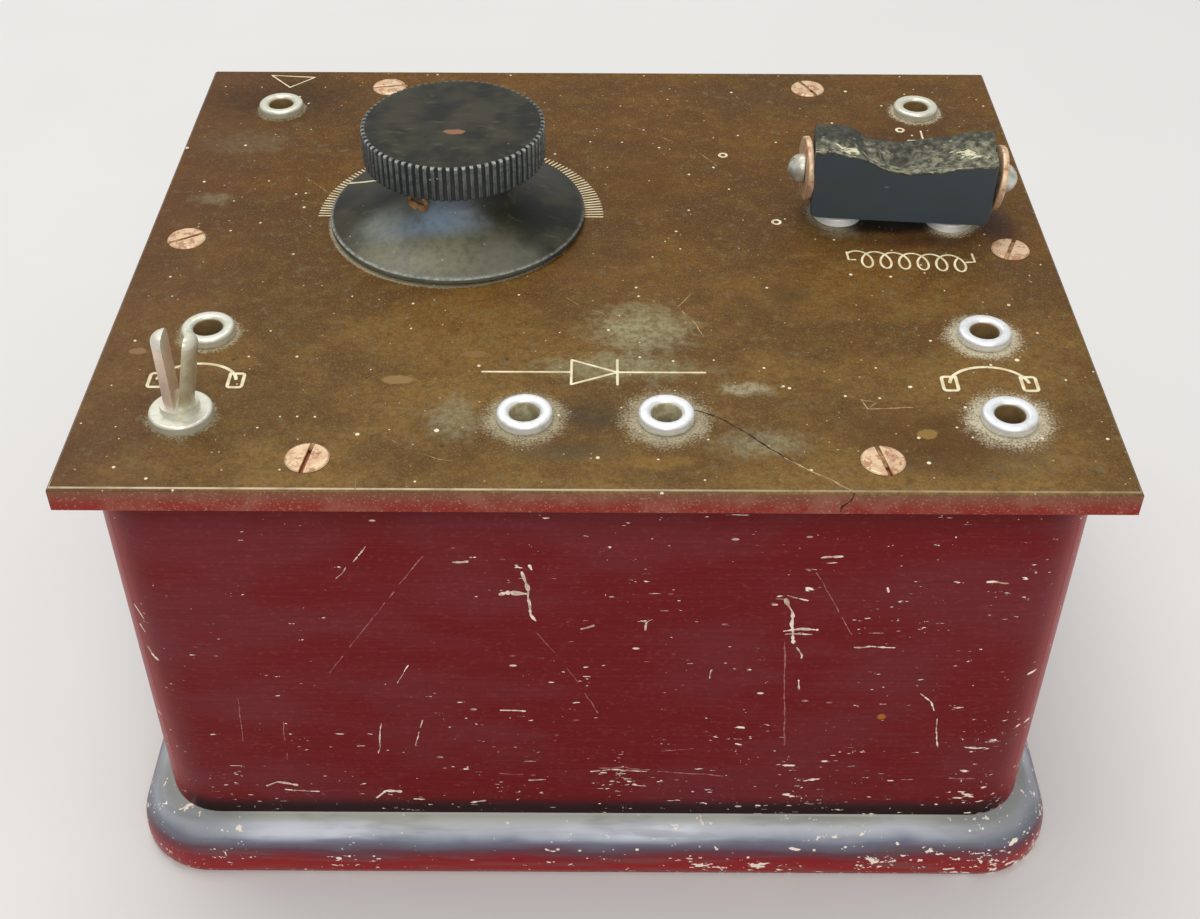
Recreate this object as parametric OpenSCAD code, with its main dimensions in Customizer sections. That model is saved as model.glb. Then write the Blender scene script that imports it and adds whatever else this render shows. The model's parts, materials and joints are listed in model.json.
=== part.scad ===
// Crystal radio set in a small wooden case with an ebonite top panel.
// Millimetres, +Z up. The origin is under the middle of the base, on its underside.
// -Y is the front, where the detector sockets are, and +X is to the right.

/* [Panel] */
// Width of the top panel, left to right
panel_w = 140; // [136:1:160]
// Depth of the top panel, front to back
panel_d = 115.5; // [112:0.5:130]
// Thickness of the top panel
panel_t = 3.7; // [3:0.1:5]
// Reach of the panel past the case walls
panel_overhang = 2.5; // [1:0.25:4]
// Width of the worn arris on the panel's top edges
panel_arris = 0.4; // [0.1:0.05:0.8]

/* [Case] */
// Height of the case walls, from base to panel
wall_h = 65.75; // [62:0.25:90]
// Thickness of the case walls
wall_t = 7.5; // [6:0.25:8.5]
// Radius of the case's rounded upright corners
case_corner_r = 9.2; // [4:0.2:12]

/* [Base] */
// Thickness of the moulded base board
base_t = 9.25; // [8:0.25:14]
// Reach of the base moulding past the case walls
base_reach = 5; // [3.5:0.25:8]
// Radius of the base board's corners, seen from above
base_corner_r = 12; // [10:0.5:16]
// Radius of the moulding's long upper curve
nose_r = 7.05; // [5:0.05:9]
// Height at which the moulding reaches furthest out
nose_z = 2.8; // [2:0.1:4]
// Radius of the moulding's lower edge
under_r = 1.6; // [0.5:0.1:1.9]

/* [Sockets] */
// Distance between the two holes that take a two-pin plug
plug_pitch = 19; // [16:0.5:20]
// Distance from the side walls' inner faces to the outer sockets
socket_inset_x = 4.5; // [4.3:0.1:8]
// Distance from the front and back walls' inner faces to the socket rows
socket_inset_y = 4.75; // [4.7:0.05:8]
// Radius of the socket bore, for a 4 mm plug
socket_bore_r = 2.03; // [2.01:0.01:2.05]
// Radius of the threaded socket body under the panel
socket_body_r = 3; // [2.75:0.05:3.5]
// Length of the socket body below the panel's top face
socket_body_len = 16; // [12:0.5:20]
// Radius of the socket flange
socket_flange_r = 3.8; // [3.6:0.1:4.5]
// Height of the socket flange above the panel
socket_flange_h = 1.45; // [1:0.05:2.5]
// Width across the flats of the socket nuts
socket_nut_af = 8; // [7.5:0.1:8]
// Thickness of the socket nuts
socket_nut_t = 2.5; // [1.5:0.1:3.5]
// Thickness of the solder tags
tag_t = 0.5; // [0.3:0.05:0.8]
// Width of the solder tags' tails
tag_w = 3; // [2:0.1:4]

/* [Split pin] */
// Radius of the split pin's collar
collar_r = 4.3; // [4:0.1:5]
// Radius of the two half-round legs
leg_r = 2; // [1.8:0.05:2.2]
// Height of the legs' tips above the panel
leg_top = 14; // [12:0.5:18]
// Width of the slit at its foot
slit_w = 0.5; // [0.3:0.1:0.8]
// Outward lean of the left leg, in degrees
left_lean = 0; // [0:0.5:6]
// Outward lean of the right leg, in degrees
right_lean = 12; // [0:0.5:14]

/* [Screws] */
// Radius of the panel screws' heads
screw_head_r = 3; // [2.6:0.1:3.6]
// Radius of the panel screws' shanks
screw_shank_r = 1.5; // [1.2:0.1:1.8]
// Length of the panel screws below the panel's top face
screw_len = 18; // [12:1:24]
// Distance of the front and back panel screws from the middle
screw_x = 37.5; // [30:0.5:48]
// How far the side screws stand off the middle, back on the left and forward on the right
side_screw_off = 1; // [0:0.5:3]
// Length of the base screws above the base's underside
base_screw_len = 24; // [16:1:30]
// Distance of the base screws from the middle
base_screw_x = 45; // [30:1:52]

/* [Coil plug] */
// Distance from the right wall's inner face to the middle of the coil sockets
coil_inset_x = 13.2; // [13.1:0.1:17]
// Place of the coil sockets, front to back
coil_y = 8.2; // [4:0.2:12]
// Turn of the coil sockets and their plug, in degrees
coil_turn = -5; // [-8:1:0]
// Distance between the two coil sockets
coil_pitch = 17.5; // [16:0.5:19]
// Length of the coil plug's block
block_w = 27.6; // [26:0.2:30]
// Shift of the block to the right of its pins
block_shift = 0.5; // [0:0.1:0.6]
// Depth of the block, front to back
block_d = 9.5; // [8:0.5:12]
// Height of the pins' shoulders between the sockets and the block
shoulder_t = 0.7; // [0.4:0.05:1.5]
// Height of the block's top above the panel
block_top = 13.9; // [12:0.1:18]
// Radius of the block's lower end corners
block_round = 1.2; // [0.5:0.1:2]
// Radius of the hollow saddle in the block's top
saddle_r = 20.5; // [18:0.5:30]
// Depth of the saddle
saddle_depth = 2.9; // [1:0.1:3.2]
// Radius of the plug pins
plug_pin_r = 1.98; // [1.96:0.01:1.99]
// Reach of the plug pins below the panel's top face
plug_pin_reach = 13.5; // [8:0.5:15]
// Radius of the copper washers
washer_r = 5; // [4:0.1:5.5]
// Thickness of the copper washers
washer_t = 1.3; // [0.8:0.1:1.6]
// Radius of the domed screw heads
dome_r = 2.3; // [2:0.1:3]
// Height of the domed screw heads
dome_h = 2.6; // [2:0.1:3]

/* [Knob] */
// Distance from the left wall's inner face to the knob's axis
knob_inset_x = 38; // [36:0.5:42]
// Place of the knob's axis, front to back
knob_y = 8; // [4:0.5:9]
// Radius of the fluted grip
grip_r = 14; // [12:0.5:16]
// Height of the grip's underside above the panel
grip_low = 11; // [10.5:0.1:13]
// Thickness of the grip
grip_t = 5.5; // [4.5:0.1:8]
// Number of flutes round the grip
flutes = 75; // [60:1:100]
// Depth of the flutes
flute_depth = 0.45; // [0.2:0.05:0.6]
// Radius of the dial skirt
skirt_r = 20; // [18:0.5:22]
// Thickness of the skirt's rim
rim_t = 0.9; // [0.7:0.1:1.2]
// Running gap between the skirt and the panel
rim_gap = 0.4; // [0.3:0.1:0.8]
// Radius of the neck between skirt and grip
neck_r = 9; // [9:0.1:11]
// Height above the panel at which the flare meets the neck
flare_top = 7; // [6.4:0.1:8]
// Radius of the brass insert in the knob
insert_r = 5.5; // [5:0.1:6]
// Radius of the knob's set screw
set_screw_r = 1.5; // [1.2:0.1:1.7]

/* [Tuning capacitor] */
// Radius of the tuning shaft
shaft_r = 3; // [2.5:0.1:3.2]
// Running clearance round the shaft
shaft_clear = 0.05; // [0.02:0.01:0.08]
// Radius of the bearing bush where it passes through the panel
bush_r = 5; // [4.5:0.1:5.2]
// Width across the flats of the bush nut
bush_nut_af = 13.5; // [13:0.5:14]
// Thickness of the bush nut
bush_nut_t = 3; // [2:0.1:3.2]
// Number of fixed vanes
fixed_vanes = 12; // [6:1:13]
// Thickness of a vane
vane_t = 0.5; // [0.4:0.05:0.6]
// Air gap between a fixed and a moving vane
vane_gap = 0.7; // [0.5:0.05:0.8]
// Radius of the moving vanes
vane_r = 28; // [24:0.5:28]
// Thickness of the capacitor's two end plates
end_plate_t = 3; // [2.5:0.1:4]
// Room between an end plate and the nearest vane
end_room = 4.2; // [4:0.1:5]
// Radius of the three stator rods
rod_r = 1.5; // [1.2:0.1:1.6]
// Wall of the spacer tubes on the rods
rod_spacer_wall = 1.2; // [1:0.1:1.4]
// Thickness of the stop arm
stop_t = 1.6; // [1:0.1:1.8]
// Width of the stop arm
stop_w = 5; // [4:0.5:7]
// Angle of the knob's index line from +X, seen from above, in degrees
index_angle = 157; // [5:1:175]

/* [Wiring] */
// Width of the square bus wire
wire_w = 1.4; // [1:0.1:1.5]
// Depth of the highest wire below the panel
first_drop = 5; // [4.5:0.1:6]
// Height between two levels of wire
level_step = 2; // [1.8:0.1:2.2]
// Width of the capacitor's thin leads
lead_w = 0.8; // [0.5:0.1:1]
// Width of the phone capacitor
phone_cap_w = 5; // [4:0.5:6]
// Depth of the phone capacitor's middle below the panel
phone_cap_drop = 10.5; // [10.5:0.5:14]
// Height of the phone capacitor
phone_cap_h = 9; // [6:0.5:10]
// Length of the phone capacitor, front to back
phone_cap_d = 12; // [8:0.5:13]

/* [Hidden] */
$fn = 64;

// Colours, as the finished pieces look
EBONITE = "#5b4527";
EBONITE_BLACK = "#23272a";
LACQUER = "#581820";
BASE_BLACK = "#2a2426";
NICKEL = "#b9b6a4";
COPPER = "#b98669";
BRASS = "#a8874a";
ALUMINIUM = "#b4b7b8";
FIBRE = "#7a3a2c";
TINNED = "#b7b4aa";
MICA_BROWN = "#4a3324";

// Fits
seat_clear = 0.05;      // a fastener or bush in its hole
thrust_gap = 0.1;       // end play of the tuning shaft
stop_gap = 0.3;         // gap left at the end stops
cut = 0.5;              // how far a cutting shape runs past the face it cuts

// Levels
panel_under = base_t + wall_h;
panel_top = panel_under + panel_t;

// Plan sizes of the case and the base
case_w = panel_w - 2 * panel_overhang;
case_d = panel_d - 2 * panel_overhang;
base_w = case_w + 2 * base_reach;
base_d = case_d + 2 * base_reach;
inner_x = case_w / 2 - wall_t;
inner_y = case_d / 2 - wall_t;

// Socket places on the panel
outer_x = inner_x - socket_inset_x;
back_y = inner_y - socket_inset_y;
front_y = -back_y;
phone_upper_y = front_y + plug_pitch;
aerial_at = [-outer_x, back_y];
earth_at = [outer_x, back_y];
detector_left_at = [-plug_pitch / 2, front_y];
detector_right_at = [plug_pitch / 2, front_y];
phone_left_upper_at = [-outer_x, phone_upper_y];
phone_right_upper_at = [outer_x, phone_upper_y];
phone_right_lower_at = [outer_x, front_y];
split_pin_at = [-outer_x, front_y];
coil_mid = [inner_x - coil_inset_x, coil_y];
knob_x = knob_inset_x - inner_x;
coil_half = [cos(coil_turn), sin(coil_turn)] * coil_pitch / 2;
coil_left_at = coil_mid - coil_half;
coil_right_at = coil_mid + coil_half;

// Each socket and the direction of its solder tag's tail
TAGGED = [
    [aerial_at, 0], [earth_at, -90], [detector_left_at, 180], [detector_right_at, 0],
    [phone_left_upper_at, 0], [phone_right_upper_at, 180], [phone_right_lower_at, 180],
    [split_pin_at, 0], [coil_left_at, 90], [coil_right_at, 90]
];
body_hole_r = socket_body_r + seat_clear;
tag_ring_r = socket_body_r + 1.4;
tag_step = wire_w + 1.1;
tag_near = socket_nut_af / 2 / cos(30) + 2.8;
tag_mid = tag_near + tag_step;
tag_far = tag_mid + tag_step;
tag_reach = tag_far + 1;
tag_under = panel_under - tag_t;

// Screw places
wall_mid_x = case_w / 2 - wall_t / 2;
wall_mid_y = case_d / 2 - wall_t / 2;
head_stand = 0.25;
slot_w = 0.6;
slot_depth = 0.7;
// The panel screws' places, and the angles at which their slots came to rest
SCREW_PLACES = [
    [-screw_x, -wall_mid_y], [screw_x, -wall_mid_y], [-screw_x, wall_mid_y],
    [screw_x, wall_mid_y], [-wall_mid_x, side_screw_off], [wall_mid_x, -side_screw_off]
];
SLOT_ANGLES = [82, 101, 12, -64, 31, 67];
PANEL_SCREWS = [for (i = [0 : len(SLOT_ANGLES) - 1]) [SCREW_PLACES[i], SLOT_ANGLES[i]]];
BASE_SCREWS = [for (sx = [-1, 1], sy = [-1, 1]) [sx * base_screw_x, sy * wall_mid_y]];
base_screw_sink = 0.4;

// Split pin
split_foot = socket_flange_h + 1.2;
root_r = leg_r + 0.65;
tip_r = 1.2;

// Coil plug, in its own frame: origin at the panel's top face between the coil sockets
block_low = socket_flange_h + shoulder_t;
cross_z = (block_low + block_top) / 2;
pin_head = cross_z + 0.9;
shoulder_r = plug_pin_r + 0.9;
cross_r = 1.45;
pin_hole_r = plug_pin_r + seat_clear;
dish_r = 3;
dish_depth = 1.3;

// Knob heights above the panel
grip_top = grip_low + grip_t;
rim_top = rim_gap + rim_t;
bush_top = bush_nut_t + 1.5;
insert_low = bush_top + 0.5;
insert_top = grip_top - 2.5;
shaft_top = insert_top - 0.5;
set_screw_z = flare_top + 0.3;
set_screw_turn = index_angle + 78.3;
hollow_r = bush_nut_af / 2 / cos(30) + 0.4;
hollow_wall = 1.6;
flare_power = 1.8;
flare_steps = 14;

// Tuning capacitor, from the panel's underside down
top_plate_low = panel_under - end_plate_t;
stack_top = top_plate_low - end_room;
vane_pitch = 2 * (vane_t + vane_gap);
stack_low = stack_top - (fixed_vanes - 1) * vane_pitch - vane_t;
bottom_plate_top = stack_low - end_room;
bottom_plate_low = bottom_plate_top - end_plate_t;
moving_vanes = fixed_vanes - 1;
moving_top = stack_top - vane_t - vane_gap;
moving_low = moving_top - (moving_vanes - 1) * vane_pitch - vane_t;
bush_flange_r = bush_r + 2;
bush_flange_t = 1.5;
lower_flange_t = 1;
shaft_hole_r = shaft_r + shaft_clear;
hub_r = shaft_r + 2.5;
fixed_inner_r = hub_r + 2.5;
spacer_r = rod_r + seat_clear + rod_spacer_wall;
rod_place_r = vane_r + spacer_r + 0.7;
end_plate_r = rod_place_r + spacer_r + 0.8;
rod_head_r = rod_r + 1.2;
stop_top = stack_low - 1.1;
stop_low = stop_top - stop_t;
stop_reach = rod_place_r + rod_r;
// The outer rods stand just past the half circle, so that the arm stops half a turn apart
stop_turn = asin((spacer_r + stop_w / 2 + stop_gap) / rod_place_r);
ROD_TURNS = [180 + stop_turn, 270, 360 - stop_turn];
stator_nut_af = 5.5;
stator_nut_t = 2.4;
rod_low = bottom_plate_low - tag_t - stator_nut_t - 1;
rod_hole_r = rod_r + seat_clear;

// Contact spring under the bottom plate
contact_t = 0.4;
contact_w = 6;
contact_screw_y = hub_r + 9;
contact_reach = contact_screw_y + 9;
contact_under = bottom_plate_low - contact_t;

function knob_at(p) = [knob_x + p[0], knob_y + p[1]];
function turned(r, a) = [r * cos(a), r * sin(a)];
function tail(tagged, reach) = tagged[0] + turned(reach, tagged[1]);
function at(p, z) = [p[0], p[1], z];

// Wire routes run square to the case, each at its own level
function level(k) = panel_under - first_drop - k * level_step;
coil_earth_level = level(0);
phone_right_level = level(1);
aerial_level = level(2);
stator_detector_level = level(3);
phone_earth_level = level(5);
phone_left_level = level(6);
stator_coil_level = level(7);
return_level = level(10);
rotor_level = contact_under - 3.5 * level_step;
back_run_y = inner_y - wire_w / 2 - 1.15;
stator_tag_reach = tag_step * 4 + 0.5;
coil_rod_at = knob_at(turned(rod_place_r, ROD_TURNS[2]));
detector_rod_at = knob_at(turned(rod_place_r, ROD_TURNS[1]));
coil_rod_tail = coil_rod_at + [stator_tag_reach, 0];
detector_rod_tail = detector_rod_at - [0, stator_tag_reach];
phone_cap_x = tail(TAGGED[5], tag_far)[0];
phone_cap_y = (phone_upper_y + front_y) / 2;
phone_cap_z = panel_under - phone_cap_drop;
contact_tail = knob_at([0, contact_reach - 2]);

// A rectangle with round corners, centred
module rounded_plan(w, d, r) {
    square([w - 2 * r, d], center = true);
    square([w, d - 2 * r], center = true);
    for (sx = [-1, 1], sy = [-1, 1])
        translate([sx * (w / 2 - r), sy * (d / 2 - r)])
            circle(r);
}

// Half of the base board's section, from its middle to the tip of the nosing
module nosing(half) {
    square([half - nose_r, base_t]);
    intersection() {
        translate([half - nose_r, nose_z])
            circle(nose_r);
        square([half, base_t]);
    }
    translate([0, under_r])
        square([half, nose_z - under_r]);
    square([half - under_r, nose_z]);
    translate([half - under_r, under_r])
        circle(under_r);
}

module full_section(half) {
    nosing(half);
    mirror([1, 0])
        nosing(half);
}

// A countersunk slotted screw, its head's rim at z = 0 and its tip down
module countersunk_screw(length, head_r, shank_r, slot_turn) {
    difference() {
        union() {
            translate([0, 0, -length])
                cylinder(h = length - head_r + shank_r, r = shank_r);
            translate([0, 0, shank_r - head_r])
                cylinder(h = head_r - shank_r, r1 = shank_r, r2 = head_r);
            cylinder(h = head_stand, r1 = head_r, r2 = head_r - head_stand);
        }
        rotate(slot_turn)
            translate([-head_r - cut, -slot_w / 2, head_stand - slot_depth])
                cube([2 * (head_r + cut), slot_w, slot_depth + cut]);
    }
}

// The hole that a countersunk screw sits in, from z = 0 down
module countersink(depth, head_r, shank_r) {
    hole_r = shank_r + seat_clear;
    translate([0, 0, -depth])
        cylinder(h = depth + cut, r = hole_r);
    translate([0, 0, shank_r - head_r])
        cylinder(h = head_r - shank_r, r1 = hole_r, r2 = head_r + seat_clear);
    cylinder(h = cut, r = head_r + seat_clear);
}

module hex_nut(af, t, hole_r) {
    difference() {
        cylinder(h = t, r = af / 2 / cos(30), $fn = 6);
        translate([0, 0, -cut])
            cylinder(h = t + 2 * cut, r = hole_r, $fn = 48);
    }
}

module ring(r, hole_r, h) {
    difference() {
        cylinder(h = h, r = r);
        translate([0, 0, -cut])
            cylinder(h = h + 2 * cut, r = hole_r);
    }
}

// A solder tag: a ring with a straight tail, its top face at z = 0
module solder_tag(ring_r, hole_r, reach, turn) {
    translate([0, 0, -tag_t])
        difference() {
            union() {
                cylinder(h = tag_t, r = ring_r);
                rotate(turn)
                    translate([0, -tag_w / 2, 0])
                        cube([reach, tag_w, tag_t]);
            }
            translate([0, 0, -cut])
                cylinder(h = tag_t + 2 * cut, r = hole_r);
        }
}

// Square wire bent at right angles through the points of a route; its two ends are cut flush
module bus_wire(route, width) {
    half = width / 2;
    last = len(route) - 2;
    for (i = [0 : last]) {
        step = route[i + 1] - route[i];
        along = step / norm(step);
        from = route[i] - along * (i == 0 ? 0 : half);
        to = route[i + 1] + along * (i == last ? 0 : half);
        side = [for (k = [0 : 2]) abs(along[k]) > 0.5 ? 0 : half];
        low = [for (k = [0 : 2]) min(from[k], to[k]) - side[k]];
        high = [for (k = [0 : 2]) max(from[k], to[k]) + side[k]];
        translate(low)
            cube(high - low);
    }
}

module base_board() {
    color(BASE_BLACK)
        difference() {
            union() {
                rotate([90, 0, 90])
                    linear_extrude(base_w - 2 * base_corner_r, center = true)
                        full_section(base_d / 2);
                rotate([90, 0, 0])
                    linear_extrude(base_d - 2 * base_corner_r, center = true)
                        full_section(base_w / 2);
                for (i = [0 : 3])
                    translate([
                        (i == 0 || i == 3 ? 1 : -1) * (base_w / 2 - base_corner_r),
                        (i < 2 ? 1 : -1) * (base_d / 2 - base_corner_r), 0
                    ])
                        rotate(i * 90)
                            rotate_extrude(angle = 90)
                                nosing(base_corner_r);
            }
            for (p = BASE_SCREWS)
                translate([p[0], p[1], base_screw_sink])
                    mirror([0, 0, 1])
                        countersink(base_t + 2 * cut, screw_head_r, screw_shank_r);
        }
}

module base_screws() {
    color(BRASS)
        for (p = BASE_SCREWS)
            translate([p[0], p[1], base_screw_sink])
                mirror([0, 0, 1])
                    countersunk_screw(
                        base_screw_len - base_screw_sink, screw_head_r, screw_shank_r, p[0] + p[1]);
}

// One wall of the case, cut from the rounded ring by its mitres. turn 0 is the front.
module case_wall(turn) {
    long_side = turn % 180 == 0;
    w = long_side ? case_w : case_d;
    d = long_side ? case_d : case_w;
    color(LACQUER)
        difference() {
            translate([0, 0, base_t])
                linear_extrude(wall_h)
                    intersection() {
                        rounded_plan(case_w, case_d, case_corner_r);
                        rotate(turn)
                            polygon([
                                [-w / 2, -d / 2], [w / 2, -d / 2],
                                [w / 2 - wall_t, -d / 2 + wall_t],
                                [-w / 2 + wall_t, -d / 2 + wall_t]
                            ]);
                    }
            for (s = PANEL_SCREWS)
                translate(at(s[0], panel_top - screw_len - cut))
                    cylinder(h = screw_len, r = screw_shank_r + seat_clear);
            for (p = BASE_SCREWS)
                translate(at(p, base_t - cut))
                    cylinder(h = base_screw_len - base_t + 2 * cut, r = screw_shank_r + seat_clear);
        }
}

module case_front() {
    case_wall(0);
}

module case_right() {
    case_wall(90);
}

module case_back() {
    case_wall(180);
}

module case_left() {
    case_wall(270);
}

// Half the panel's section, with its worn arris
module panel_section(half) {
    polygon([
        [-half, 0], [half, 0], [half, panel_t - panel_arris],
        [half - panel_arris, panel_t], [-half + panel_arris, panel_t],
        [-half, panel_t - panel_arris]
    ]);
}

module panel() {
    color(EBONITE)
        difference() {
            translate([0, 0, panel_under])
                intersection() {
                    rotate([90, 0, 90])
                        linear_extrude(panel_w, center = true)
                            panel_section(panel_d / 2);
                    rotate([90, 0, 0])
                        linear_extrude(panel_d, center = true)
                            panel_section(panel_w / 2);
                }
            for (t = TAGGED)
                translate(at(t[0], panel_under - cut))
                    cylinder(h = panel_t + 2 * cut, r = body_hole_r);
            translate([knob_x, knob_y, panel_under - cut])
                cylinder(h = panel_t + 2 * cut, r = bush_r + seat_clear);
            for (s = PANEL_SCREWS)
                translate(at(s[0], panel_top))
                    countersink(panel_t + cut, screw_head_r, screw_shank_r);
        }
}

module panel_screws() {
    color(COPPER)
        for (s = PANEL_SCREWS)
            translate(at(s[0], panel_top))
                countersunk_screw(screw_len, screw_head_r, screw_shank_r, s[1]);
}

// A turned socket: a round-edged flange on a straight threaded body, bored right through
module socket(p) {
    edge = min(0.7, socket_flange_h / 2);
    mouth = 0.45;
    color(NICKEL)
        translate(at(p, panel_top))
            rotate_extrude()
                difference() {
                    union() {
                        translate([socket_bore_r, -socket_body_len])
                            square([socket_body_r - socket_bore_r, socket_body_len + edge]);
                        translate([socket_bore_r, 0])
                            square([socket_flange_r - socket_bore_r, socket_flange_h - edge]);
                        translate([socket_bore_r, 0])
                            square([socket_flange_r - edge - socket_bore_r, socket_flange_h]);
                        translate([socket_flange_r - edge, socket_flange_h - edge])
                            circle(edge);
                    }
                    polygon([
                        [socket_bore_r - mouth, socket_flange_h + mouth],
                        [socket_bore_r - mouth, socket_flange_h - mouth],
                        [socket_bore_r, socket_flange_h - mouth],
                        [socket_bore_r + mouth, socket_flange_h],
                        [socket_bore_r + mouth, socket_flange_h + mouth]
                    ]);
                }
}

module aerial_socket() {
    socket(aerial_at);
}

module earth_socket() {
    socket(earth_at);
}

module detector_socket_left() {
    socket(detector_left_at);
}

module detector_socket_right() {
    socket(detector_right_at);
}

module phone_socket_left_upper() {
    socket(phone_left_upper_at);
}

module phone_socket_right_upper() {
    socket(phone_right_upper_at);
}

module phone_socket_right_lower() {
    socket(phone_right_lower_at);
}

module coil_socket_left() {
    socket(coil_left_at);
}

module coil_socket_right() {
    socket(coil_right_at);
}

// One leg of the split pin: half a round pin with a round tip, leaning out from its foot
module split_leg(side, lean) {
    translate([0, 0, split_foot])
        rotate([0, side * lean, 0])
            intersection() {
                rotate_extrude() {
                    translate([0, -split_foot])
                        square([leg_r, leg_top - tip_r]);
                    translate([0, leg_top - tip_r - split_foot])
                        square([leg_r - tip_r, tip_r]);
                    intersection() {
                        translate([leg_r - tip_r, leg_top - tip_r - split_foot])
                            circle(tip_r);
                        square([leg_r, leg_top]);
                    }
                }
                translate([side > 0 ? slit_w / 2 : -leg_r - cut, -leg_r - cut, 0])
                    cube([leg_r + cut - slit_w / 2, 2 * (leg_r + cut), leg_top]);
            }
}

// A split contact pin that stands up from its collar, on a threaded shank
module phone_split_pin() {
    color(NICKEL)
        translate(at(split_pin_at, panel_top)) {
            rotate_extrude() {
                translate([0, -socket_body_len])
                    square([socket_body_r, socket_body_len + 1]);
                square([collar_r - 0.4, socket_flange_h]);
                square([collar_r, socket_flange_h - 0.4]);
                translate([collar_r - 0.4, socket_flange_h - 0.4])
                    circle(0.4);
                square([root_r, split_foot]);
            }
            translate([0, 0, -0.2])
                split_leg(-1, left_lean);
            translate([0, 0, -0.2])
                split_leg(1, right_lean);
        }
}

module socket_nuts() {
    color(BRASS)
        for (t = TAGGED)
            translate(at(t[0], tag_under - socket_nut_t))
                rotate(30)
                    hex_nut(socket_nut_af, socket_nut_t, body_hole_r);
}

module solder_tags() {
    color(TINNED)
        for (t = TAGGED)
            translate(at(t[0], panel_under))
                solder_tag(tag_ring_r, body_hole_r, tag_reach, t[1]);
}

// Places a piece of the coil plug: x runs along the plug, z is up from the panel
module on_coil_plug() {
    translate(at(coil_mid, panel_top))
        rotate(coil_turn)
            children();
}

// The block seen from the front: round lower corners and a hollow saddle in the top
module block_outline() {
    corner_x = block_w / 2 - block_round;
    difference() {
        union() {
            translate([-block_w / 2, block_low + block_round])
                square([block_w, block_top - block_low - block_round]);
            translate([-corner_x, block_low])
                square([2 * corner_x, block_round * 2]);
            for (sx = [-1, 1])
                translate([sx * corner_x, block_low + block_round])
                    circle(block_round);
        }
        translate([0, block_top - saddle_depth + saddle_r])
            circle(saddle_r, $fn = 128);
    }
}

module plug_block() {
    color(EBONITE_BLACK)
        on_coil_plug()
            difference() {
                translate([block_shift, block_d / 2, 0])
                    rotate([90, 0, 0])
                        linear_extrude(block_d)
                            block_outline();
                translate([block_shift, 0, block_top - saddle_depth - dish_depth + dish_r])
                    sphere(dish_r);
                for (sx = [-1, 1]) {
                    translate([sx * coil_pitch / 2, 0, block_low - cut])
                        cylinder(h = pin_head - block_low + cut + seat_clear, r = pin_hole_r);
                    translate([sx * (coil_pitch / 2 - plug_pin_r - 1), 0, cross_z])
                        rotate([0, sx * 90, 0])
                            cylinder(h = block_w / 2, r = cross_r + seat_clear);
                }
            }
}

module plug_pins() {
    color(NICKEL)
        on_coil_plug()
            for (sx = [-1, 1])
                translate([sx * coil_pitch / 2, 0, 0])
                    difference() {
                        union() {
                            translate([0, 0, 1 - plug_pin_reach])
                                cylinder(h = plug_pin_reach - 1 + pin_head, r = plug_pin_r);
                            translate([0, 0, -plug_pin_reach])
                                cylinder(h = 1, r1 = plug_pin_r - 0.8, r2 = plug_pin_r);
                            translate([0, 0, socket_flange_h])
                                cylinder(h = shoulder_t, r = shoulder_r);
                        }
                        translate([0, 0, cross_z])
                            rotate([0, 90, 0])
                                cylinder(h = 3 * plug_pin_r, r = cross_r + seat_clear, center = true);
                    }
}

// The end screws: a slotted dome outside the washer, and a shank that passes through the pin
module plug_screws() {
    shank_in = coil_pitch / 2 - plug_pin_r - 0.5;
    color(NICKEL)
        on_coil_plug()
            for (sx = [-1, 1])
                translate([0, 0, cross_z])
                    rotate([0, sx * 90, 0])
                        domed_screw(shank_in, block_w / 2 + washer_t + sx * block_shift);
}

// Its axis is z, from the shank's end to the foot of the head and on to the dome's tip
module domed_screw(shank_in, head_at) {
    difference() {
        rotate_extrude() {
            translate([0, shank_in])
                square([cross_r, head_at - shank_in + 0.5]);
            intersection() {
                translate([0, head_at])
                    square([dome_r, dome_h]);
                translate([0, head_at + dome_h - dome_r])
                    circle(dome_r);
            }
            translate([0, head_at])
                square([dome_r, max(dome_h - dome_r, 0.1)]);
        }
        translate([-dome_r - cut, -0.35, head_at + dome_h - 0.9])
            cube([2 * (dome_r + cut), 0.7, 0.9 + cut]);
    }
}

module plug_washers() {
    color(COPPER)
        on_coil_plug()
            for (sx = [-1, 1])
                translate([sx * block_w / 2 + block_shift, 0, cross_z])
                    rotate([0, sx * 90, 0])
                        ring(washer_r, cross_r + seat_clear, washer_t);
}

// Places a piece of the knob or the tuning shaft; x points along the index line
module on_knob() {
    translate([knob_x, knob_y, panel_top])
        rotate(index_angle)
            children();
}

// The fluted grip: a wheel of flat-bottomed flutes between two plain edges
module knob_grip() {
    edge = 0.35;
    flute = 360 / flutes;
    rounds = [
        for (i = [0 : flutes - 1], k = [0 : 3])
            turned(k < 2 ? grip_r : grip_r - flute_depth, (i + [0.02, 0.42, 0.6, 0.84][k]) * flute)
    ];
    color(EBONITE_BLACK)
        on_knob()
            difference() {
                union() {
                    translate([0, 0, grip_low])
                        cylinder(h = grip_t, r = grip_r - flute_depth);
                    translate([0, 0, grip_low + edge])
                        linear_extrude(grip_t - 2 * edge)
                            polygon(rounds);
                }
                translate([0, 0, grip_low - cut])
                    cylinder(h = insert_top - grip_low + seat_clear + cut, r = insert_r + seat_clear);
            }
}

// Outline of the skirt's outside, a trumpet flare from rim to neck
function flare(u) = [
    neck_r + (skirt_r - neck_r) * pow(1 - u, flare_power),
    rim_top + (flare_top - rim_top) * u
];

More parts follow.
